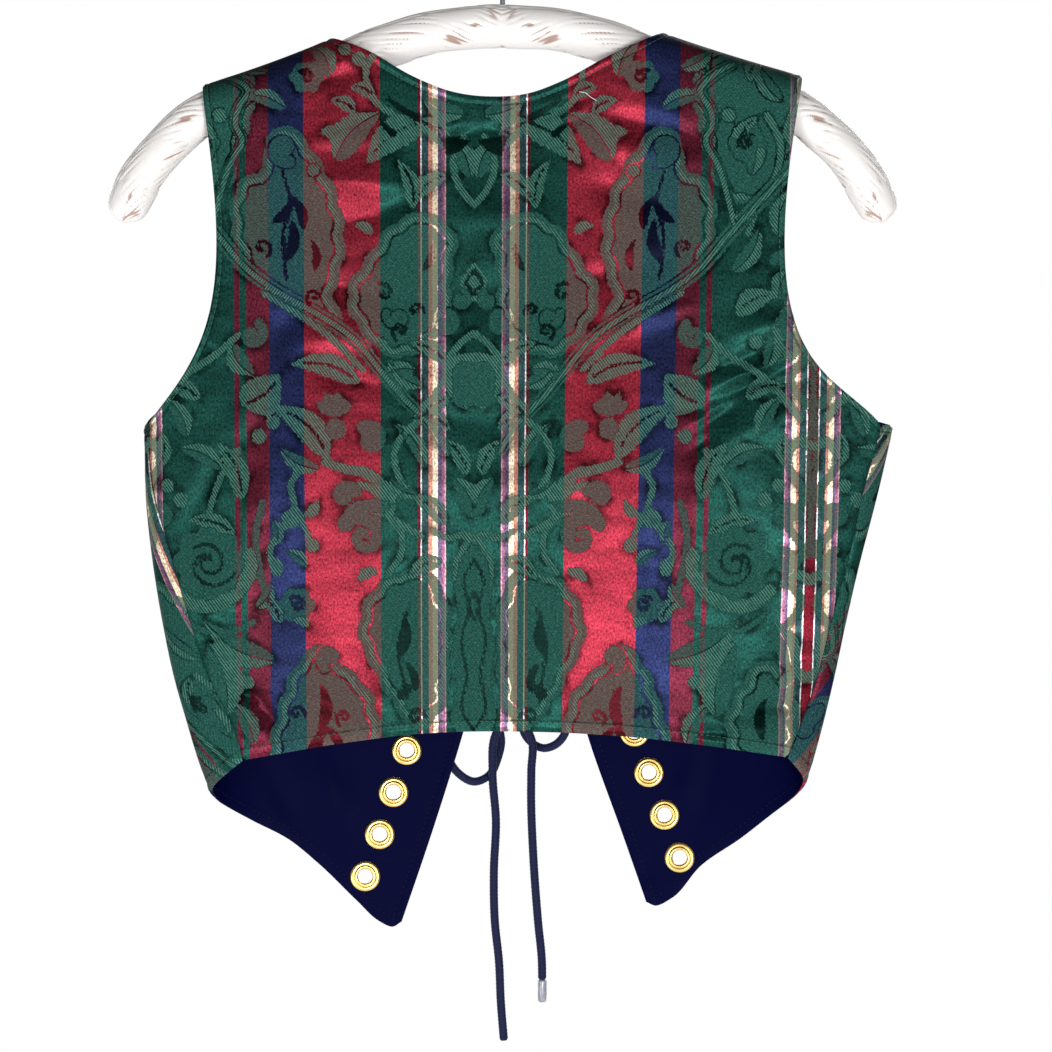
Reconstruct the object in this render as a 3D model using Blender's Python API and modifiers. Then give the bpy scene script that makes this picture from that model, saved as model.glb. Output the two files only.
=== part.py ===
"""A front-laced bodice with pointed fronts, hung on a padded hanger.

Frame: +Z up, the wearer's front faces -Y and the wearer's left is +X. The origin is the
highest point inside the hook, where a rail carries it. Sizes are worked out in
millimetres, and to_metres turns them into Blender's unit.
"""

from collections import namedtuple
from math import cos, radians, sin

import bmesh
import bpy
import numpy as np
from mathutils import Matrix, Vector

LEFT, RIGHT = 1, -1
SIDE_NAMES = {LEFT: "left", RIGHT: "right"}

# Cloth: a brocade layer over a plain lining. The form's surface lies between them.
BROCADE = 1.2
LINING = 1.0
LAYER_GAP = 0.5
SEAM_GAP = {"brocade": 0.3, "lining": 1.4}

# The form that the cloth hangs in, one row for each height above the hook point.
# left, right: half widths; back, front: depths from the shoulder plane;
# left_seam, right_seam: how far out each side seam lies, on the back.
Level = namedtuple("Level", "height left right back front left_seam right_seam")
LEVELS = (
    Level(-620, 142, 146, 25, 24, 120, 122),
    Level(-560, 156, 160, 25, 28.5, 132, 142),
    Level(-512, 168, 172.8, 26, 33, 143, 156),
    Level(-494, 174.4, 178.3, 26, 34.7, 148, 163),
    Level(-472, 181, 184.3, 27, 36.8, 155, 172),
    Level(-449, 187.6, 189.8, 28, 39, 167, 180),
    Level(-414, 195, 197.3, 30, 42, 179, 189),
    Level(-380, 200.5, 205.2, 31, 44.2, 189, 198.5),
    Level(-345, 204.3, 214.4, 31, 45.2, 199, 206),
    Level(-305, 205.5, 223.6, 29, 43.2, 205, 217),
    Level(-200, 225, 238, 23, 28, 225, 238),
    Level(-130, 240, 245, 20.5, 22, 240, 245),
    Level(-60, 240, 245, 20, 20.5, 240, 245),
)
ROUNDNESS = 2.6

# Shoulder seams run along the ridge of the form, from the neck out to the armhole.
Shoulder = namedtuple("Shoulder", "neck_x neck_z outer_x outer_z sag")
SHOULDERS = {
    LEFT: Shoulder(97.5, -79.8, 172.6, -106.9, 1.2),
    RIGHT: Shoulder(92.2, -76.9, 172.8, -101.7, 0.8),
}
SHOULDER_ROLL = 16.5

# The back's neckline and hem run from the wearer's right to the left.
Place = namedtuple("Place", "out height")
BACK_NECK = (
    Place(-92.2, -76.5),
    Place(-60, -91.5),
    Place(-34, -105.6),
    Place(-14, -112.8),
    Place(4, -114.4),
    Place(30, -111.2),
    Place(52, -102.3),
    Place(76, -88.4),
    Place(97.5, -79.5),
)
BACK_HEM = (
    Place(-165, -493),
    Place(-125, -486.8),
    Place(-74, -480.6),
    Place(-12, -477.4),
    Place(46, -478.6),
    Place(90, -484),
    Place(150, -494.5),
)
# The fronts' hems run from near the side round to the blunt point.
FRONT_HEMS = {
    LEFT: (
        Place(144.7, -532),
        Place(123.7, -543.5),
        Place(108, -556.5),
        Place(85, -578.8),
        Place(72.5, -590.4),
        Place(65, -594),
    ),
    RIGHT: (Place(158, -526.5), Place(138.8, -542), Place(116, -558), Place(99, -577), Place(90, -581.6)),
}

# Handles of each armhole's curve, from the underarm up to the shoulder.
Handles = namedtuple("Handles", "low_x low_z high_x high_z")
UNDERARM = {LEFT: -305, RIGHT: -302}
BACK_ARMHOLE = {LEFT: Handles(159, -256, 156, -219), RIGHT: Handles(184, -268, 141, -270)}
FRONT_ARMHOLE = {LEFT: Handles(138, -262, 140, -200), RIGHT: Handles(192, -309, 128, -250)}

# The laced front edges, from the bottom of the neckline down to the point.
Edge = namedtuple("Edge", "height left right")
FRONT_EDGES = (
    Edge(-347, -1.5, 24.5),
    Edge(-386, 1, 27),
    Edge(-413, 5, 31),
    Edge(-440, 11.5, 37.5),
    Edge(-486, 24.5, 50.7),
    Edge(-540, 41.5, 70),
    Edge(-600, 62, 91),
)
POINT_HEIGHT = {LEFT: -591, RIGHT: -579.5}
# Handles of the front neckline.
FRONT_NECK = Handles(34, -305, 88, -170)

# Grommets up each front edge, from the point.
GROMMETS = 9
GROMMET_PITCH = 26
GROMMET_FIRST = 18
GROMMET_INSET = {LEFT: 28.8, RIGHT: 27}
GROMMET_OUTER = 8.8
GROMMET_HOLE = 4.3
GROMMET_BARREL = 5.0
GROMMET_SEAT = 0.5
GROMMET_FLANGE = 1.0
GROMMET_SIDES = 10
CLOTH_HOLE = 5.6

# Lace: a round cord through the top pairs of grommets, tied in a bow.
LACE = 4.8
LACED_PAIRS = 4
LACE_CLEAR = 0.35
CROSSING = 5.8
KNOT = Vector((-5.5, -43, -461))
KNOT_SIZE = Vector((15, 11, 12))
KNOT_EDGE = 1.5
END_GAP = 0.3
TIP_LENGTH = 13
TIP_RADIUS = 2.7

# The padded arms of the hanger, from the middle out to one end.
Pad = namedtuple("Pad", "out drop radius")
PAD = (
    Pad(0, 71.9, 12.5),
    Pad(35.5, 74.4, 12.5),
    Pad(71, 84.5, 12.5),
    Pad(97, 95.2, 12.5),
    Pad(134.5, 109.5, 12.5),
    Pad(170, 121.6, 12.5),
    Pad(190.5, 137.2, 12.5),
    Pad(205.5, 154.9, 12.5),
    Pad(213.5, 169.1, 12.3),
    Pad(217.5, 178.7, 10.5),
    Pad(219.5, 184.8, 6.5),
)
HOOK_WIRE = 3.2
HOOK_INSIDE = 19
HOOK_START, HOOK_END = 205, -48
HOOK_STRAIGHT = 47

# Rows and columns of the panels.
SEAM_ROWS = 8
ARM_ROWS = 7
CLOSER_AT_UNDERARM = 1.4
ROLL_ROWS = (0.083, 0.042, 0.012)
BACK_SHOULDER_COLUMNS = 6
BACK_NECK_COLUMNS = 10
BACK_SIDE_SHARE = 0.22
FRONT_COLUMNS = 14
CLOSER_AT_SIDES = 1.4

# Soft folds in the back: where the middle is, how it turns from level (degrees), how far
# it reaches each way, and how far it moves the cloth.
Fold = namedtuple("Fold", "across height turn reach width depth")
BACK_FOLDS = (
    Fold(140, -455, -50, 18, 12, -3.0),
    Fold(-150, -462, 0, 28, 10, -3.0),
    Fold(-132, -270, 22, 36, 12, -3.0),
    Fold(-126, -248, 22, 36, 12, 2.2),
    Fold(60, -180, 10, 60, 22, 1.8),
    Fold(-55, -330, 75, 70, 24, 1.8),
    Fold(70, -400, 80, 70, 26, -1.8),
    Fold(10, -440, 0, 80, 20, 1.5),
)


# Curves

def smooth(at, knots, values):
    """A smooth curve through the values at rising knots, held level past both ends."""
    knots, values = np.asarray(knots, float), np.asarray(values, float)
    slope = np.gradient(values, knots)
    at = np.clip(at, knots[0], knots[-1])
    i = np.clip(np.searchsorted(knots, at) - 1, 0, len(knots) - 2)
    width = knots[i + 1] - knots[i]
    u = (at - knots[i]) / width
    return (
        (1 + 2 * u) * (1 - u) ** 2 * values[i]
        + u * (1 - u) ** 2 * width * slope[i]
        + u * u * (3 - 2 * u) * values[i + 1]
        + u * u * (u - 1) * width * slope[i + 1]
    )


def spaced(points, shares):
    """Points at these shares of the length of a polyline."""
    points = np.asarray(points, float)
    along = np.r_[0, np.cumsum(np.linalg.norm(np.diff(points, axis=0), axis=1))]
    at = np.asarray(shares) * along[-1]
    return np.stack([np.interp(at, along, column) for column in points.T], axis=1)


def through(points, shares):
    """Points at these shares of the length of a smooth curve through a few points."""
    points = np.asarray(points, float)
    knots = np.r_[0, np.cumsum(np.linalg.norm(np.diff(points, axis=0), axis=1))]
    at = np.linspace(0, knots[-1], 200)
    return spaced(np.stack([smooth(at, knots, column) for column in points.T], axis=1), shares)


def bezier(start, low, high, end, shares):
    """Points at these shares of the length of a cubic curve with two handles."""
    u = np.linspace(0, 1, 200)[:, None]
    ends = (1 - u) ** 3 * np.array(start) + u**3 * np.array(end)
    middle = 3 * u * (1 - u) ** 2 * np.array(low) + 3 * u * u * (1 - u) * np.array(high)
    return spaced(ends + middle, shares)


# The form: rings of one side, from the centre back round to past the centre front

PAST_MIDDLE = 60
HEIGHTS = np.linspace(-620, -60, 141)
TURNS = np.radians(
    np.r_[90 - 45 * np.linspace(0, 1, 60) ** 2, np.linspace(44, -44, 89), -90 + 45 * np.linspace(1, 0, 60) ** 2]
)
BESIDE = 60 + 44


def level(name, height):
    return smooth(height, [row.height for row in LEVELS], [getattr(row, name) for row in LEVELS])


def half_width(side, height):
    return level(SIDE_NAMES[side], height)


def seam_out(side, height):
    return level(SIDE_NAMES[side] + "_seam", height)


def rings(side, heights):
    """How far out and how deep the form is, and the walk so far, at each turn."""
    heights = np.asarray(heights, float)[:, None]
    cosine, sine = np.abs(np.cos(TURNS)), np.sin(TURNS)
    power = 2 / ROUNDNESS
    depth = np.where(sine > 0, level("back", heights), level("front", heights))
    out = half_width(side, heights) * cosine**power
    y = depth * np.sign(sine) * np.abs(sine) ** power
    out = np.concatenate([out, np.full_like(heights, -PAST_MIDDLE)], axis=1)
    y = np.concatenate([y, y[:, -1:]], axis=1)
    steps = np.hypot(np.diff(out, axis=1), np.diff(y, axis=1))
    walk = np.concatenate([np.zeros_like(heights), np.cumsum(steps, axis=1)], axis=1)
    return out, y, walk


RINGS = {side: rings(side, HEIGHTS) for side in (LEFT, RIGHT)}


def walk_to(out, height, side, front):
    """How long the walk is from the centre back to this far out, on one face."""
    outs, _, walks = (row[0] for row in rings(side, [height]))
    face = slice(BESIDE, None) if front else slice(0, BESIDE + 1)
    order = np.argsort(outs[face])
    return float(np.interp(out, outs[face][order], walks[face][order]))


def ring_points(side, walk, height):
    """How far out and how deep the form is where these walks end."""
    outs, ys, walks = RINGS[side]
    row = np.clip((height - HEIGHTS[0]) / (HEIGHTS[1] - HEIGHTS[0]), 0, len(HEIGHTS) - 1.001)
    below = row.astype(int)
    found = []
    for r in (below, below + 1):
        k = np.clip((walks[r] < walk[:, None]).sum(axis=1) - 1, 0, walks.shape[1] - 2)
        share = (walk - walks[r, k]) / np.maximum(walks[r, k + 1] - walks[r, k], 1e-9)
        found.append([a[r, k] + share * (a[r, k + 1] - a[r, k]) for a in (outs, ys)])
    return [a + (row - below) * (b - a) for a, b in zip(*found)]


def ridge(out, side):
    """Height of the shoulder ridge, carried straight on past both ends of the seam."""
    s = SHOULDERS[side]
    share = (out - s.neck_x) / (s.outer_x - s.neck_x)
    inside = np.clip(share, 0, 1)
    return s.neck_z + share * (s.outer_z - s.neck_z) - 4 * s.sag * inside * (1 - inside)


def folds(x, z):
    """How far the soft folds move the back outwards."""
    moved = np.zeros_like(x)
    for f in BACK_FOLDS:
        turn = radians(f.turn)
        along = (x - f.across) * cos(turn) + (z - f.height) * sin(turn)
        over = (z - f.height) * cos(turn) - (x - f.across) * sin(turn)
        moved += f.depth * np.exp(-((along / f.reach) ** 2) - (over / f.width) ** 2)
    return moved


def form(walk, height):
    """Points of the form. A walk above zero goes round the wearer's left."""
    x, y = np.zeros_like(walk), np.zeros_like(walk)
    for side in (LEFT, RIGHT):
        here = side * walk > 0 if side == LEFT else walk <= 0
        out, depth = ring_points(side, np.abs(walk[here]), height[here])
        drop = np.clip((ridge(out, side) - height[here]) / SHOULDER_ROLL, 0, 1)
        x[here], y[here] = side * out, depth * np.sqrt(1 - (1 - drop) ** 2)
    y = y + np.where(y > 0, folds(x, height), 0)
    return np.stack([x, y, height], axis=-1)


def outward(walk, height):
    """Unit normals of the form, pointing out of the garment."""
    step = 0.6
    around = form(walk + step, height) - form(walk - step, height)
    up = form(walk, height + step) - form(walk, height - step)
    normal = np.cross(up, around)
    return normal / np.linalg.norm(normal, axis=-1, keepdims=True)


# Panels as grids of (walk, height): rows run up, columns run the way the walk rises

def arm_shares():
    """Rows above the underarm: closer together near it, and where the cloth rolls over."""
    lower = (1 - ROLL_ROWS[0]) * np.linspace(0, 1, ARM_ROWS + 1) ** CLOSER_AT_UNDERARM
    return np.r_[lower, [1 - share for share in ROLL_ROWS[1:]], 1]


def patch(bottom, top, start, end):
    """A grid between four edges. Its rows keep the start edge's share of the height."""
    u = np.linalg.norm(np.diff(bottom, axis=0), axis=1)
    u = (np.r_[0, np.cumsum(u)] / u.sum())[None, :, None]
    v = ((start[:, 1] - start[0, 1]) / (start[-1, 1] - start[0, 1]))[:, None, None]
    low = (1 - u) * bottom[0] + u * bottom[-1]
    high = (1 - u) * top[0] + u * top[-1]
    sides = (1 - u) * start[:, None] + u * end[:, None]
    return sides + (1 - v) * (bottom - low) + v * (top - high)


def height_along(x, places):
    return smooth(x, [place.out for place in places], [place.height for place in places])


def outer_edge(side, front, layer):
    """A panel's side seam and armhole, from the hem up to the shoulder."""
    corner = seam_out(side, BACK_HEM[0].height)
    heights = np.linspace(height_along(side * corner, BACK_HEM), UNDERARM[side], SEAM_ROWS + 1)
    seam = np.array([[walk_to(seam_out(side, z), z, side, False), z] for z in heights])
    seam[:, 0] += (SEAM_GAP[layer] if front else -SEAM_GAP[layer]) / 2
    handles = (FRONT_ARMHOLE if front else BACK_ARMHOLE)[side]
    shoulder = SHOULDERS[side]
    arm = bezier(
        seam[-1],
        (walk_to(handles.low_x, handles.low_z, side, front), handles.low_z),
        (walk_to(handles.high_x, handles.high_z, side, front), handles.high_z),
        (walk_to(shoulder.outer_x, shoulder.outer_z, side, front), shoulder.outer_z),
        arm_shares(),
    )
    return np.concatenate([seam, arm[1:]]) * (side, 1)


def back_shares():
    """Column places across the back, from one side seam: closer together at the sides."""
    side = np.linspace(0, 1, BACK_SHOULDER_COLUMNS + 1) ** CLOSER_AT_SIDES
    middle = np.linspace(BACK_SIDE_SHARE, 1 - BACK_SIDE_SHARE, BACK_NECK_COLUMNS + 1)
    return np.r_[side[:-1] * BACK_SIDE_SHARE, middle, 1 - side[-2::-1] * BACK_SIDE_SHARE]


def back_top():
    """Column places along the shoulders and the neckline, closer at the neck points."""
    right, left = SHOULDERS[RIGHT], SHOULDERS[LEFT]
    side = np.linspace(0, 1, BACK_SHOULDER_COLUMNS + 1)[:-1] ** CLOSER_AT_SIDES
    round_neck = (1 - np.cos(np.linspace(0, np.pi, BACK_NECK_COLUMNS + 1))) / 2
    return np.r_[
        -right.outer_x + side * (right.outer_x - right.neck_x),
        -right.neck_x + round_neck * (right.neck_x + left.neck_x),
        (left.outer_x - side * (left.outer_x - left.neck_x))[::-1],
    ]


def back_grid(layer):
    right, left = (outer_edge(side, False, layer) for side in (RIGHT, LEFT))
    walks = right[0, 0] + back_shares() * (left[0, 0] - right[0, 0])
    x = form(walks, np.full_like(walks, BACK_HEM[0].height))[:, 0]
    bottom = np.stack([walks, height_along(x, BACK_HEM)], axis=1)
    bottom[[0, -1]] = right[0], left[0]
    top = []
    for x in back_top():
        side = LEFT if x > 0 else RIGHT
        seam = abs(x) > SHOULDERS[side].neck_x - 0.01
        z = float(ridge(abs(x), side) if seam else height_along(x, BACK_NECK))
        top.append([side * walk_to(abs(x), z, side, False), z])
    top = np.array(top)
    top[[0, -1]] = right[-1], left[-1]
    return patch(bottom, top, right, left)


def edge_out(height, side):
    rows = FRONT_EDGES[::-1]
    return smooth(height, [row.height for row in rows], [getattr(row, SIDE_NAMES[side]) for row in rows])


def laced_edge(side):
    """(out, height) down the middle of a laced edge's curve, from the point upwards."""
    heights = np.linspace(POINT_HEIGHT[side], FRONT_EDGES[0].height, 100)
    return np.stack([edge_out(heights, side), heights], axis=1)


def front_grid(side, layer):
    outer = outer_edge(side, True, layer)
    edge = spaced(laced_edge(side), np.linspace(0, 1, SEAM_ROWS + 1))
    shoulder = SHOULDERS[side]
    corner = edge[-1]
    neck = bezier(
        corner,
        (corner[0] + FRONT_NECK.low_x, FRONT_NECK.low_z),
        FRONT_NECK[2:],
        (shoulder.neck_x, shoulder.neck_z),
        arm_shares(),
    )
    inner = [[side * walk_to(out, z, side, True), z] for out, z in [*edge, *neck[1:]]]
    inner = np.array(inner)
    shares = np.linspace(0, 1, FRONT_COLUMNS + 1) ** CLOSER_AT_SIDES
    hem = [[side * walk_to(row.out, row.height, side, True), row.height] for row in FRONT_HEMS[side]]
    bottom = through([outer[0], *hem, inner[0]], shares)
    outs = shoulder.outer_x + shares * (shoulder.neck_x - shoulder.outer_x)
    top = np.array([[side * walk_to(out, ridge(out, side), side, True), ridge(out, side)] for out in outs])
    top[[0, -1]] = outer[-1], inner[-1]
    grid = patch(bottom, top, outer, inner)
    return grid if side == LEFT else grid[:, ::-1]


# Objects

def to_metres(point):
    return Vector(point) / 1000


def new_material(name, colour, roughness, metallic=0.0, sheen=0.0):
    material = bpy.data.materials.new(name)
    material.use_nodes = True
    shader = material.node_tree.nodes["Principled BSDF"]
    shader.inputs["Base Color"].default_value = (*colour, 1)
    shader.inputs["Roughness"].default_value = roughness
    shader.inputs["Metallic"].default_value = metallic
    shader.inputs["Sheen Weight"].default_value = sheen
    material.diffuse_color = (*colour, 1)
    return material


def add_object(name, data, material, collection):
    data.materials.append(material)
    made = bpy.data.objects.new(name, data)
    collection.objects.link(made)
    return made


def thicken(made, thickness, outwards):
    solid = made.modifiers.new("Thickness", "SOLIDIFY")
    solid.thickness = thickness / 1000
    solid.offset = 1 if outwards else -1
    solid.use_quality_normals = True


def cloth_layer(name, grid, layer, back, material, collection):
    """One layer of a panel, laid beside the form and thickened away from the other layer."""
    outer = layer == "brocade"
    lift = LAYER_GAP / 2 if outer else -LAYER_GAP / 2
    walk, height = grid[..., 0].ravel(), grid[..., 1].ravel()
    top = len(walk) - grid.shape[1]
    normal = outward(walk, np.where(np.arange(len(walk)) < top, height, height - 2))
    points = form(walk, height) + lift * normal
    for i in range(top, len(walk)):
        side = LEFT if points[i, 0] > 0 else RIGHT
        s = SHOULDERS[side]
        if abs(points[i, 0]) < s.neck_x - 1:
            continue
        points[i] = form(walk[i : i + 1], height[i : i + 1])[0]
        points[i, 1] = (SEAM_GAP[layer] if back else -SEAM_GAP[layer]) / 2
        points[i, 2] += lift
    mesh = bmesh.new()
    verts = [mesh.verts.new(to_metres(point)) for point in points]
    rows, columns = grid.shape[:2]
    for r in range(rows - 1):
        for c in range(columns - 1):
            a = r * columns + c
            mesh.faces.new((verts[a], verts[a + columns], verts[a + columns + 1], verts[a + 1]))
    bmesh.ops.triangulate(mesh, faces=mesh.faces, quad_method="FIXED")
    data = bpy.data.meshes.new(name)
    mesh.to_mesh(data)
    mesh.free()
    data.shade_smooth()
    made = add_object(name, data, material, collection)
    thicken(made, BROCADE if outer else LINING, outer)
    return made


def cord(name, points, diameter, material, collection, radii=None):
    """A round cord, wire or pad along straight stretches, with flat ends."""
    data = bpy.data.curves.new(name, "CURVE")
    data.dimensions = "3D"
    data.bevel_depth = diameter / 2000
    data.bevel_resolution = 2
    data.use_fill_caps = True
    spline = data.splines.new("POLY")
    spline.points.add(len(points) - 1)
    for i, point in enumerate(points):
        spline.points[i].co = (*to_metres(point), 1)
        spline.points[i].radius = 1 if radii is None else radii[i]
    return add_object(name, data, material, collection)


# Grommets

Site = namedtuple("Site", "centre normal")


def grommet_sites(side):
    """Centre on the form and outward direction of each grommet, from the point up."""
    line = laced_edge(side)
    along = np.r_[0, np.cumsum(np.linalg.norm(np.diff(line, axis=0), axis=1))]
    sites = []
    for k in range(GROMMETS):
        at = GROMMET_FIRST + k * GROMMET_PITCH
        here = np.array([np.interp(at, along, column) for column in line.T])
        ahead = np.array([np.interp(at + 1, along, column) for column in line.T])
        up_x, up_z = (ahead - here) / np.linalg.norm(ahead - here)
        out, z = here + GROMMET_INSET[side] * np.array((up_z, -up_x))
        walk = np.array([side * walk_to(out, z, side, True)])
        height = np.array([z])
        sites.append(Site(Vector(form(walk, height)[0]), Vector(outward(walk, height)[0])))
    return sites


def placed(site):
    turn = site.normal.to_track_quat("Z", "Y").to_matrix().to_4x4()
    return Matrix.Translation(to_metres(site.centre)) @ turn


OUTSIDE_FACE = LAYER_GAP / 2 + BROCADE
INSIDE_FACE = -LAYER_GAP / 2 - LINING
FLANGE_TOP = OUTSIDE_FACE + GROMMET_SEAT + GROMMET_FLANGE
FLANGE_BOTTOM = INSIDE_FACE - GROMMET_SEAT - GROMMET_FLANGE


def grommet_mesh():
    """The grommet's section as a closed outline, down its outer side first."""
    section = (
        (GROMMET_HOLE, FLANGE_TOP),
        (GROMMET_OUTER - 1.8, FLANGE_TOP),
        (GROMMET_OUTER, FLANGE_TOP - 0.6),
        (GROMMET_OUTER, FLANGE_TOP - GROMMET_FLANGE),
        (GROMMET_BARREL, FLANGE_TOP - GROMMET_FLANGE),
        (GROMMET_BARREL, FLANGE_BOTTOM + GROMMET_FLANGE),
        (GROMMET_OUTER, FLANGE_BOTTOM + GROMMET_FLANGE),
        (GROMMET_OUTER, FLANGE_BOTTOM),
        (GROMMET_HOLE, FLANGE_BOTTOM),
    )
    mesh = bpy.data.meshes.new("grommet")
    edges = [(i, (i + 1) % len(section)) for i in range(len(section))]
    mesh.from_pydata([to_metres((r, 0, z)) for r, z in section], edges, [])
    return mesh


def add_grommets(side, sites, mesh, material, collection):
    for k, site in enumerate(sites):
        made = bpy.data.objects.new(f"grommet_{SIDE_NAMES[side]}_{k + 1}", mesh)
        collection.objects.link(made)
        made.matrix_world = placed(site)
        turned = made.modifiers.new("Turned", "SCREW")
        turned.axis = "Z"
        turned.steps = turned.render_steps = GROMMET_SIDES
        turned.use_merge_vertices = True
        turned.merge_threshold = 0.00001
        turned.use_normal_calculate = True
    if not mesh.materials:
        mesh.materials.append(material)


def hole_cutter(side, sites, collection):
    """One mesh with a cylinder through the cloth at each grommet."""
    cut = bmesh.new()
    for site in sites:
        bmesh.ops.create_cone(
            cut,
            cap_ends=True,
            segments=GROMMET_SIDES,
            radius1=CLOTH_HOLE / 1000,
            radius2=CLOTH_HOLE / 1000,
            depth=0.02,
            matrix=placed(site),
        )
    data = bpy.data.meshes.new("holes_" + SIDE_NAMES[side])
    cut.to_mesh(data)
    cut.free()
    made = bpy.data.objects.new(data.name, data)
    collection.objects.link(made)
    made.hide_render = True
    made.display_type = "WIRE"
    return made


def cut_holes(panel, cutter):
    holes = panel.modifiers.new("Holes", "BOOLEAN")
    holes.operation = "DIFFERENCE"
    holes.solver = "EXACT"
    holes.object = cutter


# Lace

LACE_OUTSIDE = FLANGE_TOP + LACE / 2 + LACE_CLEAR
LACE_INSIDE = FLANGE_BOTTOM - LACE / 2 - LACE_CLEAR


def pass_through(site, before, after, inward):
    """Points of the lace as it bends into a grommet, goes through it and bends away."""
    first, last = (LACE_OUTSIDE, LACE_INSIDE) if inward else (LACE_INSIDE, LACE_OUTSIDE)
    points = []
    for other, lift, order in ((before, first, 1), (after, last, -1)):
        away = other - site.centre
        away = (away - away.dot(site.normal) * site.normal).normalized()
        steps = [(7.5, 1.0), (2.4, 1.0), (0.6, 0.72)][::order]
        points += [site.centre + away * far + site.normal * lift * share for far, share in steps]
    return points


def laced(start_side, over, sites):
    """Half the lace, from the middle of the top bar to the knot. One half lies over."""
    side, pair, inward = start_side, GROMMETS - 1, True
    stops = []
    for _ in range(LACED_PAIRS):
        stops.append((sites[side][pair], inward))
        side, pair, inward = -side, pair - 1, not inward
    top = [sites[s][GROMMETS - 1] for s in (RIGHT, LEFT)]
    middle = (top[0].centre + top[1].centre) / 2 + top[0].normal * LACE_OUTSIDE
    end_side = -side
    end = KNOT + Vector((end_side * 3.6, 0, KNOT_SIZE.z / 2 + END_GAP))
    along = Vector((1 if start_side == LEFT else -1, 0, 0))
    points = [middle + along * END_GAP / 2]
    previous = middle
    for i, (site, inward) in enumerate(stops):
        following = stops[i + 1][0].centre if i + 1 < len(stops) else end
        points += pass_through(site, previous, following, inward)
        if i + 1 < len(stops):
            crossing = (site.centre + following) / 2
            lift = LACE_INSIDE if inward else LACE_OUTSIDE
            lift += over * CROSSING * np.sign(lift)
            points.append(crossing + Vector((0, -1, 0)) * lift)
        previous = site.centre
    points.append(end + Vector((end_side * 5, 0, 8)))
    points.append(end + Vector((end_side * 1.2, 0, 5)))
    points.append(end + Vector((0, 0, 2.5)))
    points.append(end)
    return points


# The bow and the free ends: chosen points, from the knot out.
LEFT_LOOP = (
    (5, -43, -458), (10.5, -43.4, -459.4), (18.5, -43.4, -464.5), (26.5, -42.4, -474),
    (32, -41.6, -485), (32.2, -41.1, -495.5), (26.5, -41.2, -505), (17, -43.2, -510.5),
    (8, -47.2, -507), (3, -49.4, -497), (1, -49.8, -486), (3.4, -49, -477), (8.4, -46.4, -469.6),
    (7.6, -43.8, -465.2), (5, -43, -464),
)
RIGHT_LOOP = (
    (-16, -43, -458), (-21.5, -43.2, -458.9), (-29.5, -43.6, -462.5), (-36, -43.8, -471),
    (-37, -44.2, -481), (-31.5, -45, -488.5), (-24.3, -46.8, -491), (-16.6, -49, -487.5),
    (-12, -49.8, -480), (-13.6, -49, -472.5), (-18.6, -46, -467.6), (-18.8, -43.6, -464.9), (-16, -43, -464),
)
LEFT_END = (
    (-1.9, -43, -470.5), (0.6, -42.8, -476), (4.6, -42.2, -484), (6, -41.4, -504), (4, -41, -534),
    (5.2, -40.4, -563), (4.6, -40, -593), (2.2, -40, -616), (1.1, -40, -640), (-0.7, -40, -662.4),
)
RIGHT_END = (
    (-9.1, -43, -470.5), (-12.2, -42.8, -476), (-17, -42.4, -486), (-16.8, -41.6, -504),
    (-16.7, -41, -522), (-17.8, -40.4, -551), (-20.8, -40, -593), (-23, -40, -616), (-23.2, -40, -626.6),
)


def at_knot(across, up, on_side):
    """Where a cord meets the knot: on its side faces, or on its bottom face."""
    if on_side:
        return KNOT + Vector((np.sign(across) * (KNOT_SIZE.x / 2 + END_GAP), 0, up))
    return KNOT + Vector((across, 0, -KNOT_SIZE.z / 2 - END_GAP))


def add_lace(sites, cord_material, tip_material, collection):
    for start_side, over in ((LEFT, 0), (RIGHT, 1)):
        name = "lace_laced_" + SIDE_NAMES[start_side]
        cord(name, laced(start_side, over, sites), LACE, cord_material, collection)
    for name, side, points in (("left", LEFT, LEFT_LOOP), ("right", RIGHT, RIGHT_LOOP)):
        ends = [at_knot(side, up, True) for up in (3, -3)]
        cord("lace_loop_" + name, [ends[0], *points, ends[1]], LACE, cord_material, collection)
    for name, side, points in (("left", LEFT, LEFT_END), ("right", RIGHT, RIGHT_END)):
        start = at_knot(side * 3.6, 0, False)
        cord("lace_end_" + name, [start, *points], LACE, cord_material, collection)
    low = Vector(RIGHT_END[-1]) - Vector((0, 0, END_GAP))
    tip = bmesh.new()
    bmesh.ops.create_cone(
        tip,
        cap_ends=True,
        segments=16,
        radius1=TIP_RADIUS / 1000,
        radius2=TIP_RADIUS / 1000,
        depth=TIP_LENGTH / 1000,
    )
    data = bpy.data.meshes.new("lace_tip")
    tip.to_mesh(data)
    tip.free()
    made = add_object("lace_tip", data, tip_material, collection)
    made.location = to_metres(low - Vector((0, 0, TIP_LENGTH / 2)))
    block = bmesh.new()
    bmesh.ops.create_cube(block, size=1)
    bmesh.ops.scale(block, vec=KNOT_SIZE / 1000, verts=block.verts)
    data = bpy.data.meshes.new("lace_knot")
    block.to_mesh(data)
    block.free()
    made = add_object("lace_knot", data, cord_material, collection)
    made.location = to_metres(KNOT)
    rounded = made.modifiers.new("Rounded", "BEVEL")
    rounded.width = KNOT_EDGE / 1000
    rounded.segments = 2


# Hanger

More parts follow.
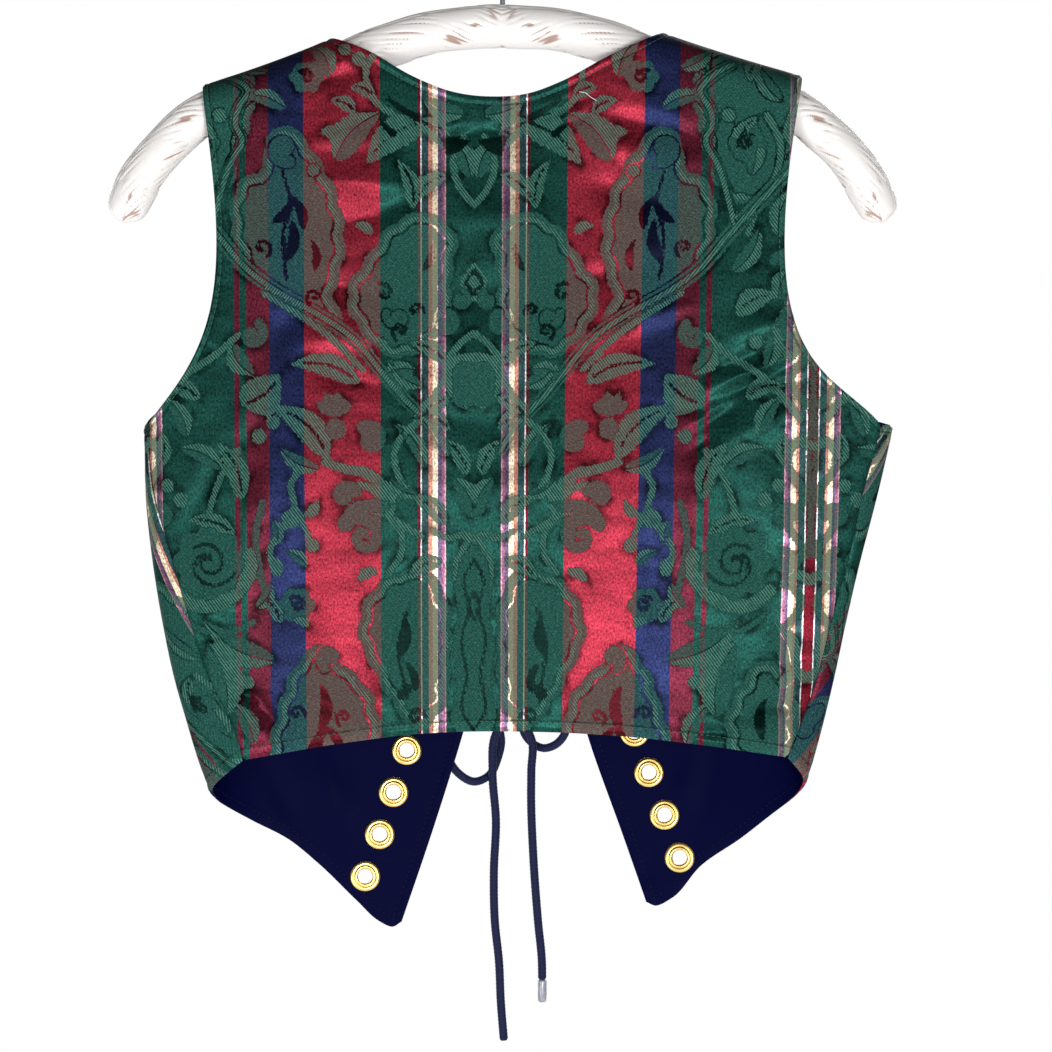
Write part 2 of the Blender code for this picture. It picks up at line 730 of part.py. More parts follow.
def add_hanger(satin, wire, collection):
    arm = [(row.out, row.drop, row.radius) for row in PAD]
    both = [(-out, drop, radius) for out, drop, radius in arm[:0:-1]] + arm
    thickest = max(row.radius for row in PAD)
    cord(
        "hanger_pad",
        [(out, 0, -drop) for out, drop, _ in both],
        2 * thickest,
        satin,
        collection,
        [radius / thickest for _, _, radius in both],
    )
    radius = HOOK_INSIDE + HOOK_WIRE / 2
    points = []
    for degree in np.linspace(HOOK_START, HOOK_END, 24):
        turn = radians(degree)
        points.append((radius * cos(turn), 0, -HOOK_INSIDE + radius * sin(turn)))
    points.append((5.5, 0, -HOOK_STRAIGHT + 4.2))
    points.append((1.6, 0, -HOOK_STRAIGHT + 0.4))
    points.append((0, 0, -HOOK_STRAIGHT - 3.5))
    points.append((0, 0, -PAD[0].drop + PAD[0].radius + END_GAP))
    cord("hanger_hook", points, HOOK_WIRE, wire, collection)


def main():
    for old in list(bpy.data.objects):
        bpy.data.objects.remove(old)
    garment = bpy.data.collections.new("laced_bodice_on_hanger")
    cutters = bpy.data.collections.new("cutters")
    for collection in (garment, cutters):
        bpy.context.scene.collection.children.link(collection)
    brocade = new_material("brocade", (0.33, 0.02, 0.03), 0.5, sheen=0.3)
    lining = new_material("lining", (0.02, 0.03, 0.09), 0.35)
    brass = new_material("brass", (0.72, 0.5, 0.24), 0.3, 1.0)
    braid = new_material("braid", (0.015, 0.02, 0.06), 0.7)
    clear = new_material("clear_tip", (0.6, 0.62, 0.65), 0.2)
    satin = new_material("satin", (0.85, 0.78, 0.7), 0.35, sheen=0.2)
    steel = new_material("steel", (0.7, 0.7, 0.7), 0.25, 1.0)

    cloth_layer("back", back_grid("brocade"), "brocade", True, brocade, garment)
    cloth_layer("back_lining", back_grid("lining"), "lining", True, lining, garment)
    grommet = grommet_mesh()
    sites = {}
    for side in (LEFT, RIGHT):
        sites[side] = grommet_sites(side)
        cutter = hole_cutter(side, sites[side], cutters)
        for layer, ending, material in (("brocade", "", brocade), ("lining", "_lining", lining)):
            name = f"front_{SIDE_NAMES[side]}{ending}"
            panel = cloth_layer(name, front_grid(side, layer), layer, False, material, garment)
            cut_holes(panel, cutter)
        add_grommets(side, sites[side], grommet, brass, garment)
    add_lace(sites, braid, clear, garment)
    add_hanger(satin, steel, garment)


main()
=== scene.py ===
# %% [markdown]
# # A laced brocade bodice on a padded hanger
#
# This notebook dresses a plain CAD model of a sleeveless, front-laced bodice that hangs on
# a padded hanger and is seen from behind. The CAD gives every piece its place. Here each
# piece gets its real surface: woven stripes and leaves, a navy lining, braided lace, brass
# grommets and a gathered satin pad.

from collections import namedtuple
from math import cos, pi, radians, sin

import bpy
import numpy as np
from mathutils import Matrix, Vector
from mathutils.kdtree import KDTree


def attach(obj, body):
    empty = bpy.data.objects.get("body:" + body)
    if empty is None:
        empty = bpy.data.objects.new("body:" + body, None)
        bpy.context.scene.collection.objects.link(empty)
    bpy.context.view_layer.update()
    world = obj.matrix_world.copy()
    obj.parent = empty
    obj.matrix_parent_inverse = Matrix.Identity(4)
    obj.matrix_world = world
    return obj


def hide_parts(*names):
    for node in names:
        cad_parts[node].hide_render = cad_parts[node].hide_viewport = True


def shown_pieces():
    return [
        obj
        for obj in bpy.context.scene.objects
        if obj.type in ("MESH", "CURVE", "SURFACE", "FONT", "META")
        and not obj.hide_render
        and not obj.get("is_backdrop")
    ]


def rows_of(kind, *rows):
    """A table: each row becomes one named tuple."""
    return [kind(*row) for row in rows]


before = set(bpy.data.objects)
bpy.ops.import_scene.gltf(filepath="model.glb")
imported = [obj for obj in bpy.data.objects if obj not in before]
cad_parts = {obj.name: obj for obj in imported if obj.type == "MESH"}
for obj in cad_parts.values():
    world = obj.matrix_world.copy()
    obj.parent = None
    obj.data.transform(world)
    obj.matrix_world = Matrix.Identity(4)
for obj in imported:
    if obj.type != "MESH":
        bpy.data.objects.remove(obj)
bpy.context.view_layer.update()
bpy.ops.object.select_all(action="DESELECT")

# %% [markdown]
# ## Camera, light and floor
#
# The garment was photographed square on from behind, so the camera looks along -Y from a
# good two metres away. The lights are large and soft, as in a product studio. The floor lies
# well below the hem, because a hanging garment touches nothing.

# %% The camera looks at the back of the garment
CAMERA_PLACE = (-0.01368, 2.228, -0.36011)
SENSOR_WIDTH = 36
VIEW_WIDTH, VIEW_DISTANCE = 599.64, 2200

bpy.ops.object.camera_add(location=CAMERA_PLACE, rotation=(pi / 2, 0, pi))
camera = bpy.context.object
camera.data.sensor_width = SENSOR_WIDTH
camera.data.lens = SENSOR_WIDTH * VIEW_DISTANCE / VIEW_WIDTH
bpy.context.scene.camera = camera
bpy.context.scene.view_settings.view_transform = "Standard"
print("lens:", round(camera.data.lens, 2), "mm")

# %% Soft lights in front, behind and above
Lamp = namedtuple("Lamp", "name place power size")
LAMPS = rows_of(
    Lamp,
    ("key", (-0.5, 2.1, -0.62), 29, 0.6),
    ("fill", (1.3, 1.8, -0.95), 18, 1.1),
    ("front_key", (-1.1, -2.0, 0.7), 26, 1.1),
    ("front_fill", (1.4, -1.7, -0.3), 12, 1.3),
    ("top", (0.1, 0.1, 1.5), 0.6, 1.2),
)
AIM = Vector((0, 0, -0.42))

for lamp in LAMPS:
    turn = (AIM - Vector(lamp.place)).to_track_quat("-Z", "Y").to_euler()
    bpy.ops.object.light_add(type="AREA", location=lamp.place, rotation=turn)
    light = bpy.context.object
    light.name = lamp.name
    light.data.energy = lamp.power
    light.data.size = lamp.size
print(len(LAMPS), "lamps")

# %% A white room and a pale floor
WHITE_LIGHT = (1, 1, 1, 1)
ROOM_LIGHT, ROOM_SEEN = 0.19, 1.0
FLOOR_DROP, FLOOR_RADIUS = -1.35, 3.25

world = bpy.data.worlds.new("room")
bpy.context.scene.world = world
world.use_nodes = True
room = world.node_tree
lit = room.nodes["Background"]
lit.inputs["Color"].default_value = WHITE_LIGHT
lit.inputs["Strength"].default_value = ROOM_LIGHT
seen = room.nodes.new("ShaderNodeBackground")
seen.inputs["Color"].default_value = WHITE_LIGHT
seen.inputs["Strength"].default_value = ROOM_SEEN
path = room.nodes.new("ShaderNodeLightPath")
either = room.nodes.new("ShaderNodeMixShader")
room.links.new(path.outputs["Is Camera Ray"], either.inputs["Fac"])
room.links.new(lit.outputs["Background"], either.inputs[1])
room.links.new(seen.outputs["Background"], either.inputs[2])
room.links.new(either.outputs["Shader"], room.nodes["World Output"].inputs["Surface"])

bpy.ops.mesh.primitive_circle_add(
    vertices=192, radius=FLOOR_RADIUS, fill_type="NGON", location=(0, 0, FLOOR_DROP)
)
floor = bpy.context.object
floor.name = "floor"
floor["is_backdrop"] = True
print("floor at", FLOOR_DROP, "m")

# %% [markdown]
# ## Small helpers for materials
#
# A material is a chain of nodes. These helpers add one node at a time and link what it
# reads, so that each finish below stays a short recipe.

# %% Helpers that add and link nodes
class Finish:
    """A material with its shader, and short calls that add nodes to it."""

    def __init__(self, name, colour=(0.8, 0.8, 0.8), roughness=0.5, **sockets):
        self.material = bpy.data.materials.new(name)
        self.material.use_nodes = True
        self.material.diffuse_color = (*colour, 1)
        self.tree = self.material.node_tree
        self.shader = self.tree.nodes["Principled BSDF"]
        self.shade(Base_Color=(*colour, 1), Roughness=roughness, **sockets)

    def shade(self, **sockets):
        """Sets or links inputs of the shader, named with _ for each space."""
        for name, value in sockets.items():
            self.give(self.shader.inputs[name.replace("_", " ")], value)

    def give(self, socket, value):
        if isinstance(value, bpy.types.NodeSocket):
            self.tree.links.new(value, socket)
        else:
            socket.default_value = value

    def add(self, kind, inputs=(), **settings):
        node = self.tree.nodes.new("ShaderNode" + kind)
        for key, value in settings.items():
            setattr(node, key, value)
        for socket, value in dict(inputs).items():
            self.give(node.inputs[socket], value)
        return node

    def math(self, operation, first, *others):
        """One operation, carried on from value to value."""
        for other in others or (None,):
            values = (first,) if other is None else (first, other)
            first = self.add("Math", enumerate(values), operation=operation).outputs[0]
        return first

    def times(self, *values):
        return self.math("MULTIPLY", *values)

    def plus(self, *values):
        return self.math("ADD", *values)

    def most(self, *values):
        return self.math("MAXIMUM", *values)

    def without(self, share):
        return self.math("SUBTRACT", 1.0, share)

    def scaled(self, value, gain, base):
        """base + gain * value."""
        return self.plus(base, self.times(value, gain))

    def step(self, value, low, high):
        """0 below low, 1 above high, smooth between. With high under low it falls."""
        ends = (low, high, 0.0, 1.0) if high > low else (high, low, 1.0, 0.0)
        sockets = dict(zip(("From Min", "From Max", "To Min", "To Max"), ends), Value=value)
        made = self.add("MapRange", sockets, interpolation_type="SMOOTHSTEP")
        return made.outputs["Result"]

    def band(self, value, first, last):
        """1 between two soft ends, each of them a low and a high."""
        return self.times(self.step(value, *first), self.step(value, *last))

    def mix(self, share, first, second, blend="MIX"):
        made = self.add("Mix", data_type="RGBA", blend_type=blend)
        for socket, value in ((0, share), (6, first), (7, second)):
            self.give(made.inputs[socket], (*value, 1) if isinstance(value, tuple) else value)
        return made.outputs[2]

    def toned(self, colour, tone):
        """A colour made lighter or darker by a value."""
        grey = self.add("CombineColor", {"Red": tone, "Green": tone, "Blue": tone})
        return self.mix(1.0, colour, grey.outputs["Color"], "MULTIPLY")

    def noise(self, vector, scale, detail=2.0, roughness=0.5):
        inputs = {"Vector": vector, "Scale": scale, "Detail": detail, "Roughness": roughness}
        return self.add("TexNoise", inputs).outputs["Fac"]

    def stretched(self, vector, *scales):
        return self.add("Mapping", {"Vector": vector, "Scale": scales}).outputs["Vector"]

    def grain(self, uv, fine_across, fine_along, detail=2.0, roughness=0.5):
        """Noise that is finer one way of the cloth than the other."""
        return self.noise(self.stretched(uv, fine_across, fine_along, 1), 1.0, detail, roughness)

    def attribute(self, name):
        return self.add("Attribute", attribute_name=name).outputs["Fac"]

    def places(self):
        return self.add("TexCoord").outputs["Object"]

    def flat_places(self):
        """Across and along the cloth, in metres, from its UV map."""
        uv = self.add("UVMap", uv_map="cloth").outputs["UV"]
        split = self.add("SeparateXYZ", {"Vector": uv})
        return uv, split.outputs["X"], split.outputs["Y"]

    def bump(self, height, depth, strength=1.0):
        inputs = {"Height": height, "Distance": depth, "Strength": strength}
        self.shade(Normal=self.add("Bump", inputs).outputs["Normal"])


def wear(piece, finish):
    """Gives a piece one finish."""
    piece.data.materials.clear()
    piece.data.materials.append(finish.material)


PAPER_GLOW = dict(Emission_Color=WHITE_LIGHT, Emission_Strength=0.35)
wear(floor, Finish("stage_paper", (0.9, 0.9, 0.9), 0.9, **PAPER_GLOW))
print("floor finish ready")

# %% [markdown]
# ## The form inside the cloth
#
# All the cloth follows one smooth form: rings that are nearly oval, one for each height.
# The numbers repeat the CAD's named sizes, so the thin cloth made here lies exactly on the
# CAD solids. A point of the cloth is found by its height and by its walk, the distance
# round the ring from the centre back. A walk above zero goes round the wearer's left.

# %% Sizes of the form, in millimetres
LEFT, RIGHT = 1, -1
SIDE_NAMES = {LEFT: "left", RIGHT: "right"}

Level = namedtuple("Level", "height left right back front left_seam right_seam")
LEVELS = rows_of(
    Level,
    (-620, 142, 146, 25, 24, 120, 122), (-560, 156, 160, 25, 28.5, 132, 142),
    (-512, 168, 172.8, 26, 33, 143, 156), (-494, 174.4, 178.3, 26, 34.7, 148, 163),
    (-472, 181, 184.3, 27, 36.8, 155, 172), (-449, 187.6, 189.8, 28, 39, 167, 180),
    (-414, 195, 197.3, 30, 42, 179, 189), (-380, 200.5, 205.2, 31, 44.2, 189, 198.5),
    (-345, 204.3, 214.4, 31, 45.2, 199, 206), (-305, 205.5, 223.6, 29, 43.2, 205, 217),
    (-200, 225, 238, 23, 28, 225, 238), (-130, 240, 245, 20.5, 22, 240, 245),
    (-60, 240, 245, 20, 20.5, 240, 245),
)
ROUNDNESS = 2.6

Shoulder = namedtuple("Shoulder", "neck_x neck_z outer_x outer_z sag")
SHOULDERS = {
    LEFT: Shoulder(97.5, -79.8, 172.6, -106.9, 1.2),
    RIGHT: Shoulder(92.2, -76.9, 172.8, -101.7, 0.8),
}
SHOULDER_ROLL = 16.5

Fold = namedtuple("Fold", "across height turn reach width depth")
BACK_FOLDS = rows_of(
    Fold,
    (140, -455, -50, 18, 12, -3.0), (-150, -462, 0, 28, 10, -3.0), (-132, -270, 22, 36, 12, -3.0),
    (-126, -248, 22, 36, 12, 2.2), (60, -180, 10, 60, 22, 1.8), (-55, -330, 75, 70, 24, 1.8),
    (70, -400, 80, 70, 26, -1.8), (10, -440, 0, 80, 20, 1.5),
)
print(len(LEVELS), "levels of the form")


# %% Curves through a few points
def smooth(at, knots, values):
    """A smooth curve through the values at rising knots, held level past both ends."""
    knots, values = np.asarray(knots, float), np.asarray(values, float)
    slope = np.gradient(values, knots)
    at = np.clip(at, knots[0], knots[-1])
    i = np.clip(np.searchsorted(knots, at) - 1, 0, len(knots) - 2)
    width = knots[i + 1] - knots[i]
    u = (at - knots[i]) / width
    return (
        (1 + 2 * u) * (1 - u) ** 2 * values[i]
        + u * (1 - u) ** 2 * width * slope[i]
        + u * u * (3 - 2 * u) * values[i + 1]
        + u * u * (u - 1) * width * slope[i + 1]
    )


def lengths(points):
    """How far along a polyline each point is."""
    return np.r_[0, np.cumsum(np.linalg.norm(np.diff(points, axis=0), axis=1))]


def spaced(points, shares):
    """Points at these shares of the length of a polyline."""
    points = np.asarray(points, float)
    along = lengths(points)
    at = np.asarray(shares) * along[-1]
    return np.stack([np.interp(at, along, column) for column in points.T], axis=1)


def through(points, shares, fine=400):
    """Points at these shares of the length of a smooth curve through a few points."""
    points = np.asarray(points, float)
    knots = lengths(points)
    at = np.linspace(0, knots[-1], fine)
    return spaced(np.stack([smooth(at, knots, column) for column in points.T], axis=1), shares)


def bezier(start, low, high, end, shares):
    """Points at these shares of the length of a cubic curve with two handles."""
    u = np.linspace(0, 1, 400)[:, None]
    ends = (1 - u) ** 3 * np.array(start) + u**3 * np.array(end)
    middle = 3 * u * (1 - u) ** 2 * np.array(low) + 3 * u * u * (1 - u) * np.array(high)
    return spaced(ends + middle, shares)


print("curves: smooth, spaced, through and bezier")


# %% Rings of the form
PAST_MIDDLE = 60
FORM_FOOT, FORM_TOP = -620, -60
HEIGHTS = np.linspace(FORM_FOOT, FORM_TOP, 561)
FACE_TURNS, SIDE_TURNS = 60, 89
TURNS = np.radians(
    np.r_[
        90 - 45 * np.linspace(0, 1, FACE_TURNS) ** 2,
        np.linspace(44, -44, SIDE_TURNS),
        -90 + 45 * np.linspace(1, 0, FACE_TURNS) ** 2,
    ]
)
BESIDE = FACE_TURNS + SIDE_TURNS // 2


def column(table, name, height):
    """A column of a table, as a smooth curve over the heights of its rows."""
    return smooth(height, [row.height for row in table], [getattr(row, name) for row in table])


def level(name, height):
    return column(LEVELS, name, height)


def rings(side, heights):
    """How far out and how deep the form is, and the walk so far, at each turn."""
    heights = np.asarray(heights, float)[:, None]
    cosine, sine = np.abs(np.cos(TURNS)), np.sin(TURNS)
    power = 2 / ROUNDNESS
    depth = np.where(sine > 0, level("back", heights), level("front", heights))
    out = level(SIDE_NAMES[side], heights) * cosine**power
    y = depth * np.sign(sine) * np.abs(sine) ** power
    out = np.concatenate([out, np.full_like(heights, -PAST_MIDDLE)], axis=1)
    y = np.concatenate([y, y[:, -1:]], axis=1)
    steps = np.hypot(np.diff(out, axis=1), np.diff(y, axis=1))
    walk = np.concatenate([np.zeros_like(heights), np.cumsum(steps, axis=1)], axis=1)
    return out, y, walk


RINGS = {side: rings(side, HEIGHTS) for side in (LEFT, RIGHT)}
print("rings of the form:", len(HEIGHTS))


# %% From a place to its walk, and from a walk to its place
def walk_to(out, height, side, front):
    """How long the walk is from the centre back to this far out, on one face."""
    outs, _, walks = (row[0] for row in rings(side, [height]))
    face = slice(BESIDE, None) if front else slice(0, BESIDE + 1)
    order = np.argsort(outs[face])
    return float(np.interp(out, outs[face][order], walks[face][order]))


def ring_points(side, walk, height):
    """How far out and how deep the form is where these walks end."""
    outs, ys, walks = RINGS[side]
    row = np.clip((height - HEIGHTS[0]) / (HEIGHTS[1] - HEIGHTS[0]), 0, len(HEIGHTS) - 1.001)
    below = row.astype(int)
    found = []
    for r in (below, below + 1):
        k = np.clip((walks[r] < walk[:, None]).sum(axis=1) - 1, 0, walks.shape[1] - 2)
        share = (walk - walks[r, k]) / np.maximum(walks[r, k + 1] - walks[r, k], 1e-9)
        found.append([a[r, k] + share * (a[r, k + 1] - a[r, k]) for a in (outs, ys)])
    return [a + (row - below) * (b - a) for a, b in zip(*found)]


print("the walk to x 100, z -300 is", round(walk_to(100, -300, LEFT, False), 1), "mm")


# %% The shoulders, the folds and the points of the form
def ridge(out, side):
    """Height of the shoulder ridge, carried straight on past both ends of the seam."""
    s = SHOULDERS[side]
    share = (out - s.neck_x) / (s.outer_x - s.neck_x)
    inside = np.clip(share, 0, 1)
    return s.neck_z + share * (s.outer_z - s.neck_z) - 4 * s.sag * inside * (1 - inside)


def creased(x, z, table):
    """How far the soft folds of a table move the cloth outwards."""
    moved = np.zeros_like(x)
    for f in table:
        turn = radians(f.turn)
        along = (x - f.across) * cos(turn) + (z - f.height) * sin(turn)
        over = (z - f.height) * cos(turn) - (x - f.across) * sin(turn)
        moved += f.depth * np.exp(-((along / f.reach) ** 2) - (over / f.width) ** 2)
    return moved


def form(walk, height):
    """Points of the form for rows of walks and heights."""
    shape = np.shape(walk)
    walk, height = np.ravel(walk), np.ravel(height)
    x, y = np.zeros_like(walk), np.zeros_like(walk)
    for side in (LEFT, RIGHT):
        here = walk > 0 if side == LEFT else walk <= 0
        out, depth = ring_points(side, np.abs(walk[here]), height[here])
        drop = np.clip((ridge(out, side) - height[here]) / SHOULDER_ROLL, 0, 1)
        x[here], y[here] = side * out, depth * np.sqrt(1 - (1 - drop) ** 2)
    y = y + np.where(y > 0, creased(x, height, BACK_FOLDS), 0)
    return np.stack([x, y, height], axis=-1).reshape(*shape, 3)


def outward(walk, height):
    """Unit normals of the form, pointing out of the garment."""
    step = 0.6
    around = form(walk + step, height) - form(walk - step, height)
    up = form(walk, height + step) - form(walk, height - step)
    normal = np.cross(up, around)
    return normal / np.linalg.norm(normal, axis=-1, keepdims=True)


print("centre of the back at -300 mm:", form(np.zeros(1), np.full(1, -300.0))[0].round(1).tolist())

# %% [markdown]
# ## Edges of the panels
#
# The back is one piece from side seam to side seam. Each front wraps round the side and
# ends in a laced edge that slants out towards its point. The edges are short tables of
# places, joined by smooth curves.

# %% Where the edges run, in millimetres
Place = namedtuple("Place", "out height")
BACK_NECK = rows_of(
    Place,
    (-92.2, -76.5), (-60, -91.5), (-34, -105.6), (-14, -112.8), (4, -114.4), (30, -111.2),
    (52, -102.3), (76, -88.4), (97.5, -79.5),
)
BACK_HEM = rows_of(
    Place,
    (-165, -493), (-125, -486.8), (-74, -480.6), (-12, -477.4), (46, -478.6), (90, -484),
    (150, -494.5),
)
FRONT_HEMS = {
    LEFT: rows_of(
        Place,
        (144.7, -532), (123.7, -543.5), (108, -556.5), (85, -578.8), (72.5, -590.4), (65, -594),
    ),
    RIGHT: rows_of(
        Place, (158, -526.5), (138.8, -542), (116, -558), (99, -577), (90, -581.6)
    ),
}

Handles = namedtuple("Handles", "low_x low_z high_x high_z")
UNDERARM = {LEFT: -305, RIGHT: -302}
BACK_ARMHOLE = {LEFT: Handles(159, -256, 156, -219), RIGHT: Handles(184, -268, 141, -270)}
FRONT_ARMHOLE = {LEFT: Handles(138, -262, 140, -200), RIGHT: Handles(192, -309, 128, -250)}

Edge = namedtuple("Edge", "height left right")
FRONT_EDGES = rows_of(
    Edge,
    (-347, -1.5, 24.5), (-386, 1, 27), (-413, 5, 31), (-440, 11.5, 37.5), (-486, 24.5, 50.7),
    (-540, 41.5, 70), (-600, 62, 91),
)
POINT_HEIGHT = {LEFT: -591, RIGHT: -579.5}
FRONT_NECK = Handles(34, -305, 88, -170)
print("edges of the back and of two fronts")


# %% The laced edges and where the grommets sit on them
GROMMETS = 9
GROMMET_PITCH = 26
GROMMET_FIRST = 18
GROMMET_INSET = {LEFT: 28.8, RIGHT: 27}
Site = namedtuple("Site", "centre normal")


def laced_edge(side):
    """(out, height) down the middle of a laced edge's curve, from the point upwards."""
    heights = np.linspace(POINT_HEIGHT[side], FRONT_EDGES[0].height, 100)
    return np.stack([column(FRONT_EDGES[::-1], SIDE_NAMES[side], heights), heights], axis=1)


def grommet_sites(side):
    """Centre on the form and outward direction of each grommet, from the point up."""
    line = laced_edge(side)
    along = lengths(line)
    sites = []
    for k in range(GROMMETS):
        at = GROMMET_FIRST + k * GROMMET_PITCH
        here = np.array([np.interp(at, along, column) for column in line.T])
        ahead = np.array([np.interp(at + 1, along, column) for column in line.T])
        up_x, up_z = (ahead - here) / np.linalg.norm(ahead - here)
        out, z = here + GROMMET_INSET[side] * np.array((up_z, -up_x))
        walk = np.array([side * walk_to(out, z, side, True)])
        height = np.array([z])
        sites.append(Site(Vector(form(walk, height)[0]), Vector(outward(walk, height)[0])))
    return sites


SITES = {side: grommet_sites(side) for side in (LEFT, RIGHT)}
ALL_SITES = SITES[LEFT] + SITES[RIGHT]
print("grommets:", len(ALL_SITES))

# %% [markdown]
# ## The braided lace
#
# One round braided cord laces the top four pairs of grommets and is tied in a bow on the
# outside. Its two loops and two free ends hang below. The route of each stretch repeats the
# CAD's points, and each stretch is a tube whose surface rises and falls like a braid: two
# sets of strands wind against each other, so the bumps stand in a lattice of diamonds.

# %% The route of the lace, in millimetres
BROCADE, LINING, LAYER_GAP = 1.2, 1.0, 0.5
GROMMET_SEAT, GROMMET_FLANGE = 0.5, 1.0
OUTSIDE_FACE = LAYER_GAP / 2 + BROCADE
INSIDE_FACE = -LAYER_GAP / 2 - LINING
FLANGE_TOP = OUTSIDE_FACE + GROMMET_SEAT + GROMMET_FLANGE
FLANGE_BOTTOM = INSIDE_FACE - GROMMET_SEAT - GROMMET_FLANGE

LACE = 4.8
LACED_PAIRS = 4
LACE_CLEAR = 0.35
CROSSING = 5.8
KNOT = Vector((-5.5, -43, -461))
KNOT_SIZE = Vector((15, 11, 12))
KNOT_FROM_MIDDLE = 3.6
END_GAP = 0.3
LACE_OUTSIDE = FLANGE_TOP + LACE / 2 + LACE_CLEAR
LACE_INSIDE = FLANGE_BOTTOM - LACE / 2 - LACE_CLEAR

LEFT_LOOP = (
    (5, -43, -458), (10.5, -43.4, -459.4), (18.5, -43.4, -464.5), (26.5, -42.4, -474),
    (32, -41.6, -485), (32.2, -41.1, -495.5), (26.5, -41.2, -505), (17, -43.2, -510.5),
    (8, -47.2, -507), (3, -49.4, -497), (1, -49.8, -486), (3.4, -49, -477), (8.4, -46.4, -469.6),
    (7.6, -43.8, -465.2), (5, -43, -464),
)
RIGHT_LOOP = (
    (-16, -43, -458), (-21.5, -43.2, -458.9), (-29.5, -43.6, -462.5), (-36, -43.8, -471),
    (-37, -44.2, -481), (-31.5, -45, -488.5), (-24.3, -46.8, -491), (-16.6, -49, -487.5),
    (-12, -49.8, -480), (-13.6, -49, -472.5), (-18.6, -46, -467.6), (-18.8, -43.6, -464.9),
    (-16, -43, -464),
)
LEFT_END = (
    (-1.9, -43, -470.5), (0.6, -42.8, -476), (4.6, -42.2, -484), (6, -41.4, -504),
    (4, -41, -534), (5.2, -40.4, -563), (4.6, -40, -593), (2.2, -40, -616), (1.1, -40, -640),
    (-0.7, -40, -662.4),
)
RIGHT_END = (
    (-9.1, -43, -470.5), (-12.2, -42.8, -476), (-17, -42.4, -486), (-16.8, -41.6, -504),
    (-16.7, -41, -522), (-17.8, -40.4, -551), (-20.8, -40, -593), (-23, -40, -616),
    (-23.2, -40, -626.6),
)


print("lace:", LACE, "mm thick")

# %% The lace through the grommets
BEND_IN = ((7.5, 1.0), (2.4, 1.0), (0.6, 0.72))


def pass_through(site, before, after, inward):
    """Points of the lace as it bends into a grommet, goes through it and bends away."""
    first, last = (LACE_OUTSIDE, LACE_INSIDE) if inward else (LACE_INSIDE, LACE_OUTSIDE)
    points = []
    for other, lift, order in ((before, first, 1), (after, last, -1)):
        away = other - site.centre
        away = (away - away.dot(site.normal) * site.normal).normalized()
        for far, share in BEND_IN[::order]:
            points.append(site.centre + away * far + site.normal * lift * share)
    return points


def laced(start_side, over, sites):
    """Half the lace, from the middle of the top bar to the knot. One half lies over."""
    side, pair, inward = start_side, GROMMETS - 1, True
    stops = []
    for _ in range(LACED_PAIRS):
        stops.append((sites[side][pair], inward))
        side, pair, inward = -side, pair - 1, not inward
    top = [sites[s][GROMMETS - 1] for s in (RIGHT, LEFT)]
    middle = (top[0].centre + top[1].centre) / 2 + top[0].normal * LACE_OUTSIDE
    end_side = -side
    end = KNOT + Vector((end_side * KNOT_FROM_MIDDLE, 0, KNOT_SIZE.z / 2 + END_GAP))
    points = [middle + Vector((start_side, 0, 0)) * END_GAP / 2]
    previous = middle
    for i, (site, inward) in enumerate(stops):
        following = stops[i + 1][0].centre if i + 1 < len(stops) else end
        points += pass_through(site, previous, following, inward)
        if i + 1 < len(stops):
            crossing = (site.centre + following) / 2
            lift = LACE_INSIDE if inward else LACE_OUTSIDE
            lift += over * CROSSING * np.sign(lift)
            points.append(crossing + Vector((0, -1, 0)) * lift)
        previous = site.centre
    last = ((end_side * 5, 0, 8), (end_side * 1.2, 0, 5), (0, 0, 2.5), (0, 0, 0))
    return points + [end + Vector(step) for step in last]


def at_knot(across, up, on_side):
    """Where a cord meets the knot: on its side faces, or on its bottom face."""
    if on_side:
        return KNOT + Vector((np.sign(across) * (KNOT_SIZE.x / 2 + END_GAP), 0, up))
    return KNOT + Vector((across, 0, -KNOT_SIZE.z / 2 - END_GAP))


ROUTES = {
    "laced_left": laced(LEFT, 0, SITES),
    "laced_right": laced(RIGHT, 1, SITES),
    "loop_left": [at_knot(LEFT, 3, True), *LEFT_LOOP, at_knot(LEFT, -3, True)],
    "loop_right": [at_knot(RIGHT, 3, True), *RIGHT_LOOP, at_knot(RIGHT, -3, True)],
    "end_left": [at_knot(LEFT * KNOT_FROM_MIDDLE, 0, False), *LEFT_END],
    "end_right": [at_knot(RIGHT * KNOT_FROM_MIDDLE, 0, False), *RIGHT_END],
}
for name, route in ROUTES.items():
    print(name, "is", round(lengths(np.array(route))[-1]), "mm long")


# %% A mesh from points, faces and values at its points
def pick(piece):
    """Selects one object alone and makes it the active one."""
    bpy.ops.object.select_all(action="DESELECT")
    piece.select_set(True)
    bpy.context.view_layer.objects.active = piece


def add_piece(name, points, faces, finish, slot, replaces=(), sharp=None):
    """A smooth mesh object. The points come in millimetres."""
    data = bpy.data.meshes.new(name)
    faces = faces.tolist() if isinstance(faces, np.ndarray) else faces
    data.from_pydata((np.asarray(points, float) / 1000).tolist(), [], faces)
    data.update()
    data.shade_smooth()
    made = bpy.data.objects.new(name, data)
    bpy.context.collection.objects.link(made)
    wear(made, finish)
    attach(made, "root")
    if replaces:
        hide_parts(*replaces)
    if sharp:
        pick(made)
        bpy.ops.object.shade_smooth_by_angle(angle=radians(sharp))
        made.select_set(False)
    return made


def joined(parts):
    """The points and faces of several parts, as those of one mesh."""
    points, faces, used = [], [], 0
    for some, some_faces in parts:
        points.append(some)
        faces += [[int(i) + used for i in face] for face in some_faces]
        used += len(some)
    return np.concatenate(points), faces


